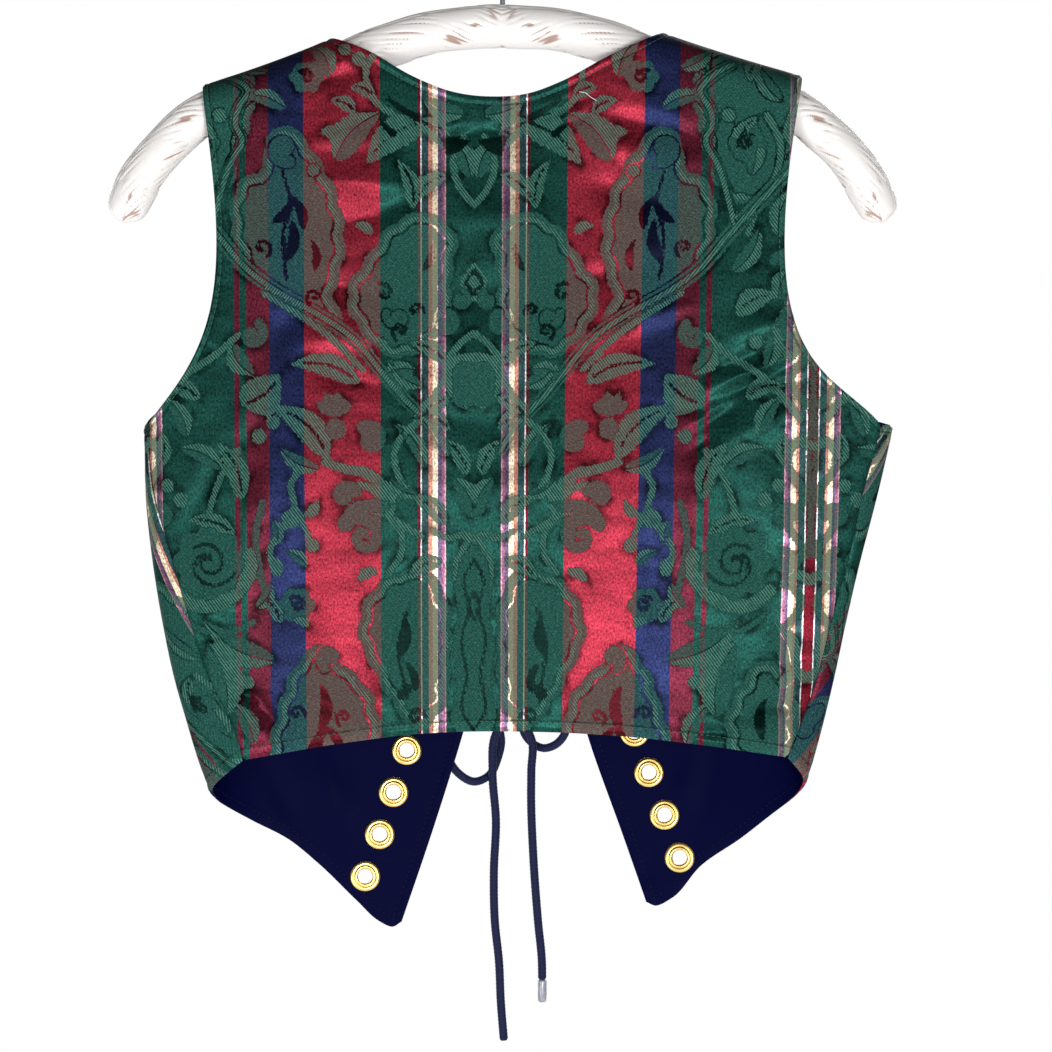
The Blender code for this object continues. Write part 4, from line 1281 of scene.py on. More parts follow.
# %% [markdown]
# ## The brocade finish
#
# The stripes are the warp, so they run the whole length of the cloth and are the same
# everywhere: one colour ramp across half the repeat. Where a figure is woven, the green weft
# covers about four fifths of the warp: red turns brown, navy turns slate and cream turns
# olive. Leaves and borders are hatched with thin pale lines. A picture of the cloth could be
# used instead, but it would blur up close; these borders are cut from distances and stay
# sharp. The satin ground is glossy, and the figures are duller and stand slightly proud.

# %% The stripes, from the middle of the pattern outwards
Stripe = namedtuple("Stripe", "start colour")
GREEN = (0.012, 0.077, 0.061)
RED, NAVY, BURGUNDY = (0.36, 0.027, 0.05), (0.02, 0.028, 0.1), (0.15, 0.018, 0.038)
PINK, MAGENTA, VIOLET = (0.76, 0.42, 0.52), (0.4, 0.15, 0.26), (0.17, 0.12, 0.23)
CREAM, ORANGE, TEAL = (1.25, 1.04, 0.76), (0.8, 0.34, 0.25), (0.04, 0.1, 0.11)
WHITE, DARK_RED = (1.0, 1.06, 1.04), (0.2, 0.012, 0.026)
STRIPES = rows_of(
    Stripe,
    (0.0, GREEN), (15.7, PINK), (16.6, MAGENTA), (18.4, VIOLET), (20.6, CREAM), (23.9, ORANGE),
    (25.7, TEAL), (29.4, WHITE), (30.6, DARK_RED), (32.4, GREEN), (53.6, RED), (97.5, NAVY),
    (117.4, BURGUNDY), (130.5, GREEN), (134.5, BURGUNDY), (137.4, GREEN), (180.6, PINK),
    (181.5, MAGENTA), (183.2, VIOLET), (184.8, CREAM), (187.6, ORANGE), (189.2, TEAL),
    (193.0, WHITE), (194.3, DARK_RED),
)
MM = 1000.0


def stripe_colour(finish, across):
    """The colour of the warp at a distance from the middle of the pattern, in metres."""
    ramp = finish.add("ValToRGB")
    finish.give(ramp.inputs["Fac"], finish.times(across, MM / HALF_WIDE))
    ramp.color_ramp.interpolation = "CONSTANT"
    stops = ramp.color_ramp.elements
    while len(stops) < len(STRIPES):
        stops.new(1.0)
    for stop, stripe in zip(stops, STRIPES):
        stop.position = stripe.start / HALF_WIDE
        stop.color = (*stripe.colour, 1)
    return ramp.outputs["Color"]


JOG = 0.0006
brocade = Finish("striped_brocade", roughness=0.4)
uv, across, up = brocade.flat_places()
threads = brocade.grain(uv, 2600, 300, 2.0, 0.55)
jog = brocade.times(brocade.math("SUBTRACT", threads, 0.5), JOG)
off_middle = brocade.math("PINGPONG", brocade.plus(across, jog), HALF_WIDE / MM)
warp = stripe_colour(brocade, off_middle)
print(len(STRIPES), "stripes in half a repeat")


# %% Where each weave is, from the distances on the mesh
SOFT = 0.16
RAGGED = 2.4
BORDER = (-2.4, -2.7), (-5.9, -5.6)
GAP = (-5.8, -6.1), (-7.3, -7.0)
BESIDE_CORE = (1.45, 1.65), (2.5, 2.2)

bulb, sprig, hollow, side, vein = (brocade.attribute(name) for name in KINDS)
side_depth, vein = brocade.math("ABSOLUTE", side), brocade.math("ABSOLUTE", vein)
stepped = brocade.math("SUBTRACT", brocade.grain(uv, 760, 520, 1.0), 0.5)
stepped = brocade.times(stepped, RAGGED)
bulb, sprig, hollow = (brocade.plus(edge, stepped) for edge in (bulb, sprig, hollow))
on_bulb, on_sprig, on_hollow = (brocade.step(d, SOFT, -SOFT) for d in (bulb, sprig, hollow))
border, gap = brocade.band(bulb, *BORDER), brocade.band(bulb, *GAP)
round_sprig = brocade.step(sprig, 0.8, 1.1)
core = brocade.step(vein, 1.6, 1.35)
hatched = brocade.times(brocade.step(side, 0.15, 0.45), brocade.step(vein, 9.0, 11.0))
hatched = brocade.most(hatched, core)
off_rib = brocade.step(side_depth, 0.2, 0.5)
off_gap, off_border, off_hatch, off_core, solid = (
    brocade.without(mask)
    for mask in (gap, border, hatched, brocade.band(vein, *BESIDE_CORE), on_hollow)
)
in_bulb = brocade.times(on_bulb, off_gap, off_border, round_sprig)
in_sprig = brocade.times(on_sprig, off_hatch, off_rib, off_core)
plain = brocade.times(brocade.most(in_bulb, in_sprig), solid)
lined = brocade.most(brocade.times(border, round_sprig), brocade.times(on_sprig, hatched))
lined = brocade.times(lined, solid)
covered = brocade.most(plain, lined)
print("masks of the weave ready")

# %% Hatching, specks and the grain of the threads
HATCH_PITCH, HATCH_RISE, HATCH_RUN = 1.48, 0.6, 0.8
SPECKS, FAINT_HATCH = 0.34, 0.17

rise, run = brocade.times(up, HATCH_RISE), brocade.times(across, HATCH_RUN)
falling, rising = (
    brocade.step(brocade.math("SINE", brocade.times(way, 2 * pi * MM / HATCH_PITCH)), 0.3, 0.85)
    for way in (brocade.math("SUBTRACT", rise, run), brocade.plus(rise, run))
)
line = brocade.most(brocade.times(rising, core), brocade.times(falling, brocade.without(core)))
speckle = brocade.grain(uv, 900, 620, 2.0, 0.7)
patchy = brocade.scaled(brocade.step(brocade.noise(uv, 230, 2.0, 0.6), 0.34, 0.6), 0.55, 0.45)
specks = brocade.times(brocade.step(speckle, 0.54, 0.68), covered, SPECKS)
faint = brocade.most(brocade.times(falling, plain, patchy, FAINT_HATCH), specks)
line = brocade.most(brocade.times(line, lined, patchy), faint)
floats = brocade.grain(uv, 520, 1500, 3.0, 0.62)
# cloud: wide blobs, longer across the cloth, that brighten and darken the satin ground as painted
# sheen and painted shade of small creases
cloud = brocade.grain(uv, 22, 60, 4.0, 0.6)
haze = brocade.noise(uv, 9, 3.0)
uneven = brocade.step(brocade.noise(uv, 75), 0.4, 0.66)
print("hatching every", HATCH_PITCH, "mm")

# %% The colour of the figures and of the ground beside them
DARK_WEFT, LIGHT_WEFT = (0.003, 0.03, 0.025), (0.012, 0.092, 0.074)
PALE_WEFT = (0.1, 0.225, 0.165)
SHOWN_WARP = (0.8, 0.68, 0.42)
WEFT_SHARE, LIGHT_WEFT_SHARE = 0.8, 0.76
FIGURE_SHADOW, OPENING_SHADOW = 0.82, 0.76

under_weft = brocade.mix(1.0, warp, SHOWN_WARP, "DARKEN")
dark_figure = brocade.mix(WEFT_SHARE, under_weft, DARK_WEFT)
light_figure = brocade.mix(LIGHT_WEFT_SHARE, under_weft, LIGHT_WEFT)
figure = brocade.mix(brocade.step(floats, 0.42, 0.62), dark_figure, light_figure)
near_figure = brocade.most(brocade.step(sprig, 4.6, 0.4), brocade.step(bulb, 3.8, 0.4))
shadow = brocade.most(
    brocade.times(near_figure, uneven, FIGURE_SHADOW),
    brocade.times(brocade.step(hollow, 0.5, -0.4), OPENING_SHADOW),
)
# Painted light on the satin ground: the cloud's painted sheen and shade and the painted shadow near
# figures and in openings, times the real grain of the threads and specks
painted_satin_light_and_grain = brocade.times(
    brocade.scaled(cloud, 1.6, -0.08),
    brocade.scaled(threads, 0.56, 0.72),
    brocade.scaled(speckle, 3.4, -0.7),
    brocade.without(shadow),
)
woven = brocade.mix(covered, brocade.toned(warp, painted_satin_light_and_grain), figure)
woven = brocade.mix(line, woven, PALE_WEFT)
print("weft covers", WEFT_SHARE, "of the warp")

# %% Painted light at the hems and shoulders: a lighter turned hem, a painted shadow beside the stitches and painted shade on the shoulders
sewn = brocade.attribute("sewn")
turned = brocade.step(sewn, 0.3, -0.3)
# Painted shadow: a dark band just past each line of stitches stands in for the shade that the turned
# hem casts
painted_stitch_shadow = brocade.band(sewn, (-0.2, 0.25), (1.9, 0.3))
painted_stitch_shadow = brocade.times(painted_stitch_shadow, brocade.scaled(uneven, 0.5, 0.16))
# Painted shade: the cloth rolled over the shoulders is darkened by up to 0.55, where the light falls
# off
shoulder = brocade.times(brocade.step(brocade.attribute("shoulder"), 0.1, 1.3), 0.55)
# Painted highlight: the turned hem between the edge and its stitches is lightened by 0.2, for the
# light its rolled face catches. The haze is a real, random tone.
tone = brocade.plus(brocade.scaled(haze, 0.36, 0.82), brocade.times(turned, 0.2))
tone = brocade.times(tone, brocade.without(painted_stitch_shadow), brocade.without(shoulder))
brocade.shade(Base_Color=brocade.toned(woven, tone))
print("hems and shoulders shaded")

# %% Gloss and relief of the brocade
SATIN_TINT = (0.35, 0.4, 0.4, 1)
RELIEF, RELIEF_STRENGTH = 0.0003, 0.9

glossy = brocade.without(covered)
brocade.shade(
    Roughness=brocade.math("SUBTRACT", 0.72, brocade.times(glossy, 0.27)),
    Metallic=brocade.times(glossy, 0.58),
    Anisotropic=brocade.times(glossy, 0.75),
    Tangent=brocade.add("Tangent", direction_type="UV_MAP", uv_map="cloth").outputs["Tangent"],
    Specular_IOR_Level=0.16,
    Specular_Tint=SATIN_TINT,
)
height = brocade.plus(
    brocade.times(covered, 0.6),
    brocade.times(line, 0.35),
    brocade.times(threads, 0.2),
    brocade.times(floats, covered, 0.5),
    brocade.times(turned, 1.1),
)
brocade.bump(height, RELIEF, RELIEF_STRENGTH)
print("brocade ready")

# %% The navy lining and the sewing thread
lining = Finish("navy_lining", (0.002, 0.003, 0.03), 0.5, Specular_IOR_Level=0.022)
uv = lining.flat_places()[0]
threads = lining.grain(uv, 2200, 500, 2.0, 0.6)
cloud = lining.noise(uv, 22, 3.0, 0.55)
dull = lining.mix(threads, (0.0004, 0.0007, 0.014), (0.0012, 0.002, 0.032))
lining.shade(
    Base_Color=lining.mix(lining.times(cloud, 0.5), dull, (0.002, 0.0024, 0.034)),
    Roughness=lining.scaled(cloud, 0.2, 0.44),
)
turned = lining.step(lining.attribute("sewn"), 0.3, -0.3)
height = lining.plus(lining.times(threads, 0.5), cloud, lining.times(turned, 1.5))
lining.bump(height, 0.00025, 0.6)


def thread_finish(name, dark, light):
    made = Finish(name, light, 0.6, Specular_IOR_Level=0.15)
    twist = made.noise(made.places(), 3000, 1.0)
    made.shade(Base_Color=made.mix(twist, dark, light))
    made.bump(twist, 0.0001, 0.6)
    return made


green_thread = thread_finish("green_thread", (0.02, 0.075, 0.055), (0.07, 0.17, 0.125))
navy_thread = thread_finish("navy_thread", (0.001, 0.0012, 0.012), (0.004, 0.005, 0.034))
white_thread = thread_finish("white_thread", (0.6, 0.62, 0.6), (0.85, 0.87, 0.84))
print("lining and threads ready")

# %% [markdown]
# ## The panels as thin shells
#
# Each panel is a fine grid between its four edges, laid on the form and moved out to where
# the CAD's solid has its face. Creases are added from short tables: a middle, a turn, a
# reach, a width and a depth, all different. Free edges are rolled over and have a sewn
# groove, and seams dip. The thickness is added last, with a rim all round.

# %% Grids between the edges of a panel
BROCADE_CELL, LINING_CELL = 1.85, 3.2
SEAM_TALL, ARM_TALL = 190, 200
ROLL_SHARE, ROLL_ROWS = 0.083, 10
BACK_SIDE_SHARE = 0.22
SEAM_HALF_GAP = 0.12


def arm_shares(cell):
    """Rows above the underarm, and closer rows where the cloth rolls over the shoulder."""
    lower = np.linspace(0, 1 - ROLL_SHARE, round(ARM_TALL / cell) + 1)
    turn = np.radians(np.linspace(0, 90, ROLL_ROWS + 1))[1:]
    return np.r_[lower, 1 - ROLL_SHARE * (1 - np.sin(turn))]


def patch(bottom, top, start, end):
    """A grid between four edges. Its rows keep the start edge's share of the height."""
    u = (lengths(bottom) / lengths(bottom)[-1])[None, :, None]
    v = ((start[:, 1] - start[0, 1]) / (start[-1, 1] - start[0, 1]))[:, None, None]
    low = (1 - u) * bottom[0] + u * bottom[-1]
    high = (1 - u) * top[0] + u * top[-1]
    sides = (1 - u) * start[:, None] + u * end[:, None]
    return sides + (1 - v) * (bottom - low) + v * (top - high)


def height_along(x, places):
    return smooth(x, [place.out for place in places], [place.height for place in places])


def seam_out(side, height):
    return level(SIDE_NAMES[side] + "_seam", height)


print("rows over the shoulder:", ROLL_ROWS)


# %% The outer edge of a panel, and the grid of the back
def outer_edge(side, front, cell):
    """A panel's side seam and armhole, from the hem up to the shoulder."""
    corner = seam_out(side, BACK_HEM[0].height)
    low = height_along(side * corner, BACK_HEM)
    heights = np.linspace(low, UNDERARM[side], round(SEAM_TALL / cell) + 1)
    seam = np.array([[walk_to(seam_out(side, z), z, side, False), z] for z in heights])
    seam[:, 0] += SEAM_HALF_GAP if front else -SEAM_HALF_GAP
    handles = (FRONT_ARMHOLE if front else BACK_ARMHOLE)[side]
    shoulder = SHOULDERS[side]
    arm = bezier(
        seam[-1],
        (walk_to(handles.low_x, handles.low_z, side, front), handles.low_z),
        (walk_to(handles.high_x, handles.high_z, side, front), handles.high_z),
        (walk_to(shoulder.outer_x, shoulder.outer_z, side, front), shoulder.outer_z),
        arm_shares(cell),
    )
    return np.concatenate([seam, arm[1:]]) * (side, 1)


def back_columns(cell):
    """How many columns end on a shoulder, and how many on the neckline."""
    beside = round(SEAM_TALL * 2 * BACK_SIDE_SHARE / cell)
    return beside, round(SEAM_TALL * 2 * (1 - 2 * BACK_SIDE_SHARE) / cell)


def back_grid(cell):
    right, left = (outer_edge(side, False, cell) for side in (RIGHT, LEFT))
    beside, middle = back_columns(cell)
    shares = np.linspace(0, 1, 2 * beside + middle + 1)
    walks = right[0, 0] + shares * (left[0, 0] - right[0, 0])
    x = form(walks, np.full_like(walks, BACK_HEM[0].height))[:, 0]
    bottom = np.stack([walks, height_along(x, BACK_HEM)], axis=1)
    bottom[[0, -1]] = right[0], left[0]
    s = SHOULDERS
    round_neck = np.linspace(0, 1, middle + 1)
    round_neck = 0.5 * round_neck + 0.25 * (1 - np.cos(pi * round_neck))
    outs = np.r_[
        np.linspace(-s[RIGHT].outer_x, -s[RIGHT].neck_x, beside + 1)[:-1],
        -s[RIGHT].neck_x + round_neck * (s[RIGHT].neck_x + s[LEFT].neck_x),
        np.linspace(s[LEFT].neck_x, s[LEFT].outer_x, beside + 1)[1:],
    ]
    top = []
    for k, x in enumerate(outs):
        side = LEFT if x > 0 else RIGHT
        on_seam = k <= beside or k >= beside + middle
        z = float(ridge(abs(x), side) if on_seam else height_along(x, BACK_NECK))
        top.append([side * walk_to(abs(x), z, side, False), z])
    top = np.array(top)
    top[[0, -1]] = right[-1], left[-1]
    return patch(bottom, top, right, left)


print("the back has", sum(np.array(back_columns(BROCADE_CELL)) * (2, 1)), "columns")


# %% The grid of a front
FRONT_ROUND = 225


def front_grid(side, cell):
    outer = outer_edge(side, True, cell)
    rows = round(SEAM_TALL / cell)
    edge = spaced(laced_edge(side), np.linspace(0, 1, rows + 1))
    shoulder = SHOULDERS[side]
    corner = edge[-1]
    neck = bezier(
        corner,
        (corner[0] + FRONT_NECK.low_x, FRONT_NECK.low_z),
        FRONT_NECK[2:],
        (shoulder.neck_x, shoulder.neck_z),
        arm_shares(cell),
    )

    def walked(places):
        return np.array([[side * walk_to(out, z, side, True), z] for out, z in places])

    inner = walked([*edge, *neck[1:]])
    shares = np.linspace(0, 1, round(FRONT_ROUND / cell) + 1)
    bottom = through([outer[0], *walked(FRONT_HEMS[side]), inner[0]], shares)
    outs = shoulder.outer_x + shares * (shoulder.neck_x - shoulder.outer_x)
    top = walked([(out, ridge(out, side)) for out in outs])
    top[[0, -1]] = outer[-1], inner[-1]
    grid = patch(bottom, top, outer, inner)
    return grid if side == LEFT else grid[:, ::-1]


print("a front has", round(FRONT_ROUND / BROCADE_CELL), "columns")


# %% Creases that only the thin cloth has
BACK_CREASES = rows_of(
    Fold,
    (-132, -270, 22, 36, 12, 1.76), (-126, -248, 22, 36, 12, -1.29), (140, -455, -50, 18, 12, 1.76),
    (-140, -264, -24, 20, 4.0, -1.4), (-142, -272, -24, 25, 3.8, 1.1),
    (-144, -278.5, -24, 24, 3.6, -1.6), (-141, -285, -27, 28, 3.8, 1.3),
    (-131, -291.5, -38, 24, 4.4, -2.3), (-157, -278.5, -8, 9, 3.2, -1.8),
    (-146, -303, -28, 24, 9, 1.5), (-107, -294, 8, 8, 3.2, -1.4), (-113, -314, -40, 10, 3.4, -1.4),
    (-118, -332, -60, 16, 6, 0.9), (-150, -246, -16, 16, 5, 0.9), (147.5, -457.5, 2, 12, 2.8, -2.2),
    (134, -467, 58, 11, 3.6, -2.5), (154.5, -473.5, 66, 15, 2.4, -2.3),
    (160, -459, 72, 9, 2.4, -1.6), (141, -463, 62, 13, 4.6, -1.8), (146, -473, 60, 13, 6, 1.5),
    (162, -452, 64, 14, 5, 0.9), (176, -418, 72, 9, 2.6, -1.6), (164, -423, -17, 10, 2.8, -1.5),
    (170, -410, 30, 10, 6, 0.9), (-158.5, -464, 0, 12, 3.2, -2.4), (-119.5, -459, 20, 8, 4, -1.3),
    (-133, -469, 0, 8, 4.4, -1.3), (-122, -477.5, 4, 9, 3, -1.5), (-142, -477, 2, 14, 5, 0.9),
    (-146, -451, -6, 20, 6, 1.3), (-166, -436, -14, 12, 5, -1.0), (90, -139, 0, 22, 6, 1.0),
    (88, -162.5, 3, 26, 8.6, 2.7), (80, -186, -5, 24, 7, -0.9), (98, -104, -14, 16, 5, -1.1),
    (62, -176, -24, 16, 6, -0.9), (-36, -121, -24, 12, 3.2, -1.5),
    (-39, -129.5, -28, 10, 3.2, -1.2), (24, -137, -14, 9, 3.6, -1.6), (2, -134, 0, 7, 3.2, -1.2),
    (4, -160, 6, 30, 9, -0.5), (-6, -182, -4, 34, 8, 0.4), (-88, -132, 14, 26, 6, -1.2),
    (-80, -146, 10, 28, 7, 1.0), (-76, -172, 18, 26, 7, -1.0), (10, -232, 8, 50, 12, -0.5),
    (-10, -262, -6, 44, 12, 0.45), (20, -300, 4, 40, 10, -0.5), (-20, -336, -8, 44, 12, 0.45),
    (84, -226, 12, 26, 6, -1.0), (92, -252, -8, 30, 7, 1.0), (80, -278, 16, 24, 6, -1.1),
    (-72, -214, -14, 28, 7, -1.0), (-84, -240, -18, 30, 7, 1.0), (124, -250, -70, 40, 9, -1.0),
    (150, -300, -58, 34, 7, 1.1), (164, -326, -66, 30, 6, -1.2), (140, -352, -74, 30, 8, 1.0),
    (110, -330, -84, 44, 10, 0.9), (112, -388, 80, 36, 7, -1.0), (-86, -390, 84, 44, 8, -1.0),
    (-110, -360, 78, 38, 9, 0.9), (-148, -392, 74, 36, 8, -1.1), (-164, -366, 70, 30, 8, 0.9),
    (40, -390, 88, 46, 8, 0.8), (4, -420, 84, 34, 7, -0.8), (-40, -452, 70, 24, 6, 0.8),
    (78, -448, 62, 22, 6, -0.9), (100, -462, 40, 16, 5, 0.8),
)
FRONT_CREASES = rows_of(
    Fold,
    (70, -372, -28, 34, 6, 1.2), (86, -392, -22, 36, 6, -1.2), (72, -412, -14, 34, 6, 1.1),
    (92, -436, -6, 32, 7, -1.0), (-84, -366, 26, 36, 6, 1.2), (-96, -388, 20, 34, 6, -1.1),
    (-86, -414, 12, 34, 6, 1.2), (-104, -438, 4, 30, 7, -1.0), (120, -250, 62, 40, 9, 1.0),
    (-132, -256, -60, 40, 9, 1.0), (136, -310, 78, 40, 10, -1.2), (-150, -320, -76, 40, 10, -1.1),
    (150, -400, 84, 44, 10, 0.9), (-160, -410, -82, 40, 9, 1.0), (110, -480, 80, 36, 9, 0.9),
    (92, -520, 74, 26, 7, -0.9), (-124, -490, -78, 34, 9, 0.8), (-104, -524, -70, 26, 7, -0.9),
    (74, -556, 50, 18, 6, 0.7), (94, -506, 86, 18, 4, 0.7), (102, -510, 80, 16, 4, -0.6),
    (126, -520, 60, 20, 6, 0.6), (-92, -552, -52, 18, 6, 0.7), (130, -150, 40, 34, 8, -0.8),
    (-126, -150, -44, 34, 8, -0.8), (104, -196, 58, 34, 8, 0.8), (-112, -206, -56, 34, 8, 0.8),
)
print(len(BACK_CREASES) + len(FRONT_CREASES), "small creases")


# %% How far each point of a panel is from its free edges and its seams
def dense(line, parts=6):
    at = np.linspace(0, len(line) - 1, (len(line) - 1) * parts + 1)
    return np.stack([np.interp(at, np.arange(len(line)), column) for column in line.T], axis=1)


def tree_of(spots):
    """A search tree that finds the nearest of some spots."""
    tree = KDTree(len(spots))
    for i, spot in enumerate(spots):
        tree.insert(spot, i)
    tree.balance()
    return tree


def distance_to(lines, points):
    """Distance from each point to the nearest of some lines, and how far along it that is."""
    tree = tree_of(np.concatenate([dense(line) for line in lines]))
    found = [tree.find(point)[1:] for point in points.reshape(-1, 3)]
    near = np.array([distance for _, distance in found]).reshape(points.shape[:2])
    return near, np.array([i for i, _ in found]).reshape(points.shape[:2])


def wobble(at, *waves):
    """A smooth uneven wave: the sum of sines of these lengths."""
    return sum(np.sin(2 * pi * at / wave + 1.7 * k) for k, wave in enumerate(waves)) / len(waves)


print("distances are measured to lines", len(dense(np.zeros((2, 3)))) - 1, "times as fine")


# %% A panel laid on the form, with its normals and its edges
SMOOTHINGS = 3
Panel = namedtuple("Panel", "points normal walks free seams stitch_in grid")


def lay_out(grid, free_lines, seam_lines, stitch_in):
    """Puts a grid on the form and finds its normals and its edges."""
    points = form(grid[..., 0], grid[..., 1])
    for _ in range(SMOOTHINGS):
        beside = points[1:-1, :-2] + points[1:-1, 2:]
        around = points[:-2, 1:-1] + points[2:, 1:-1] + beside
        points[1:-1, 1:-1] = (around + 4 * points[1:-1, 1:-1]) / 8
    normal = np.cross(np.gradient(points, axis=0), np.gradient(points, axis=1))
    normal /= np.linalg.norm(normal, axis=-1, keepdims=True)
    free = [distance_to([line(points)], points) for line in free_lines]
    seams = distance_to([line(points) for line in seam_lines], points)[0]
    return Panel(points, normal, grid[..., 0], free, seams, stitch_in, grid)


print("panels are smoothed", SMOOTHINGS, "times")

# %% How far the visible face of a layer stands from the form
CREASE_DEPTH = 1.7
EDGE_ROLL, SEAM_ROLL, SEAM_FACE = 1.8, 1.4, 0.35
GROOVE_WIDE, DENSE_STEP, PUCKERS = 0.8, 0.31, (7.3, 11.7, 4.9)
FLAT_NEAR, SEAM_CALM = 10, 12


def bell(off, width):
    return np.exp(-((off / width) ** 2))


def rolled_over(share):
    """1 at an edge, falling to 0 along a quarter circle."""
    return 1 - np.sqrt(1 - (1 - np.clip(share, 0, 1)) ** 2)


def face_lift(panel, outer, table):
    """The lift without creases and the creases, which are flat at grommets and seams."""
    x, z = panel.points[..., 0], panel.points[..., 2]
    crease = CREASE_DEPTH * creased(x, z, table)
    full, low, groove = (OUTSIDE_FACE, 0.15, 0.42) if outer else (-INSIDE_FACE, 0.85, 0.3)
    lift = np.full(x.shape, full)
    for (near, at), inset in zip(panel.free, panel.stitch_in):
        pucker = wobble(at * DENSE_STEP, *PUCKERS)
        lift -= (full - low) * rolled_over(near / EDGE_ROLL)
        lift -= groove * bell(near - inset, GROOVE_WIDE)
        lift += (0.12 + 0.2 * pucker) * bell(near - inset * 0.5, 1.6)
        lift += 0.22 * pucker * bell(near - inset - 3.5, 2.8)
    lift -= (full - SEAM_FACE) * rolled_over(panel.seams / SEAM_ROLL)
    away = [np.linalg.norm(panel.points - np.array(site.centre), axis=-1) for site in ALL_SITES]
    calm = np.clip((np.min(away, axis=0) - FLAT_NEAR) / FLAT_NEAR, 0, 1)
    return lift, crease * np.clip(panel.seams / SEAM_CALM, 0, 1) * calm


print("creases are scaled by", CREASE_DEPTH)

# %% A thin closed shell
SHELL = {True: 0.65, False: 0.45}


def shell(panel, outer, table, keep=None):
    """The points of both faces of a layer, and its faces with a rim."""
    lift, crease = face_lift(panel, outer, table)
    sign = 1 if outer else -1
    shown = panel.points + panel.normal * (sign * lift + crease)[..., None]
    hidden = shown - panel.normal * (sign * SHELL[outer])
    rows, columns = lift.shape
    r, c = np.meshgrid(np.arange(rows - 1), np.arange(columns - 1), indexing="ij")
    a = (r * columns + c).ravel()
    if keep is not None:
        a = a[keep.ravel()]
    quads = np.stack([a, a + columns, a + columns + 1, a + 1], axis=1)
    edges = np.concatenate([quads[:, [k, (k + 1) % 4]] for k in range(4)])
    count = rows * columns
    codes = edges[:, 0] * count + edges[:, 1]
    back_codes = edges[:, 1] * count + edges[:, 0]
    rim = edges[~np.isin(codes, back_codes)]
    walls = np.stack([rim[:, 1], rim[:, 0], rim[:, 0] + count, rim[:, 1] + count], axis=1)
    faces = np.concatenate([quads, quads[:, ::-1] + count, walls])
    if not outer:
        faces = faces[:, ::-1]
    used, index = np.unique(faces, return_inverse=True)
    points = np.concatenate([shown.reshape(-1, 3), hidden.reshape(-1, 3)])
    return points[used], index.reshape(faces.shape), used % count, shown


print("shells:", SHELL[True], "mm of brocade and", SHELL[False], "mm of lining")

# %% Where a panel lies on the flat cloth
MIDDLE_OF_STRIPES = 15.96
ROLL_LENGTH = 18.3
PATTERN_FOOT = -477
LEAN = {LEFT: 2.6, RIGHT: 7.0}
LEAN_TOP, LEAN_FULL = -100, 90
FRONT_GRAIN = {LEFT: radians(10), RIGHT: radians(17)}
FRONT_MIDDLE = {LEFT: 36, RIGHT: 57}
FRONT_FOOT = {LEFT: 40, RIGHT: 64}


def shoulder_turn(points):
    """How far the cloth has turned over the shoulder, from 0 below it to a quarter turn."""
    x, z = points[..., 0], points[..., 2]
    turn = np.zeros_like(x)
    for side in (LEFT, RIGHT):
        here = x * side > 0
        drop = np.clip((ridge(np.abs(x[here]), side) - z[here]) / SHOULDER_ROLL, 0, 1)
        turn[here] = np.arcsin(1 - drop)
    return turn


def rolled_up(points):
    """Height of each point as if the cloth rolled over the shoulder were laid flat."""
    turn = shoulder_turn(points)
    return points[..., 2] + ROLL_LENGTH * turn - SHOULDER_ROLL * np.sin(turn)


def back_places(panel):
    """Across and up the flat cloth of the back, in metres."""
    across = panel.walks - MIDDLE_OF_STRIPES
    near_hem = np.clip((LEAN_TOP - panel.points[..., 2]) / (LEAN_TOP - PATTERN_FOOT), 0, 1)
    lean = np.where(across > 0, LEAN[LEFT], LEAN[RIGHT]) * np.clip(across / LEAN_FULL, -1, 1)
    up = rolled_up(panel.points) - PATTERN_FOOT
    return np.stack([across + lean * near_hem, up], axis=-1) / MM


def front_places(panel, side):
    """Across and up the flat cloth of a front, which is cut on a slant."""
    heights = HEIGHTS[::10]
    middles = smooth(panel.grid[..., 1], heights, [walk_to(0, z, side, True) for z in heights])
    out = middles - np.abs(panel.walks)
    up = rolled_up(panel.points) - FRONT_EDGES[0].height
    slant = FRONT_GRAIN[side]
    across = out * cos(slant) + up * sin(slant) - FRONT_MIDDLE[side]
    along = -out * sin(slant) + up * cos(slant) + FRONT_FOOT[side]
    return np.stack([across, along], axis=-1) / MM


print("the middle of a stripe lies", MIDDLE_OF_STRIPES, "mm from the centre back")

# %% Openings under the grommets
GROMMET_OPENING, GROMMET_NEAR = 6.6, 10.4


def open_at_grommets(panel, side):
    """Leaves out the cells under each grommet and rounds the edge of each opening."""
    points = panel.points
    middles = (points[:-1, :-1] + points[1:, :-1] + points[:-1, 1:] + points[1:, 1:]) / 4
    keep = np.ones(middles.shape[:2], bool)
    for site in SITES[side]:
        keep &= np.linalg.norm(middles - np.array(site.centre), axis=-1) > GROMMET_OPENING
    touched, whole = np.zeros(points.shape[:2], bool), np.zeros(points.shape[:2], bool)
    for rows in (slice(None, -1), slice(1, None)):
        for columns in (slice(None, -1), slice(1, None)):
            touched[rows, columns] |= ~keep
            whole[rows, columns] |= keep
    for site in SITES[side]:
        away = points - np.array(site.centre)
        far = np.linalg.norm(away, axis=-1)
        rim = touched & whole & (far < GROMMET_NEAR)
        points[rim] = np.array(site.centre) + away[rim] * (GROMMET_OPENING / far[rim])[:, None]
    return keep


print("openings are", 2 * GROMMET_OPENING, "mm wide")


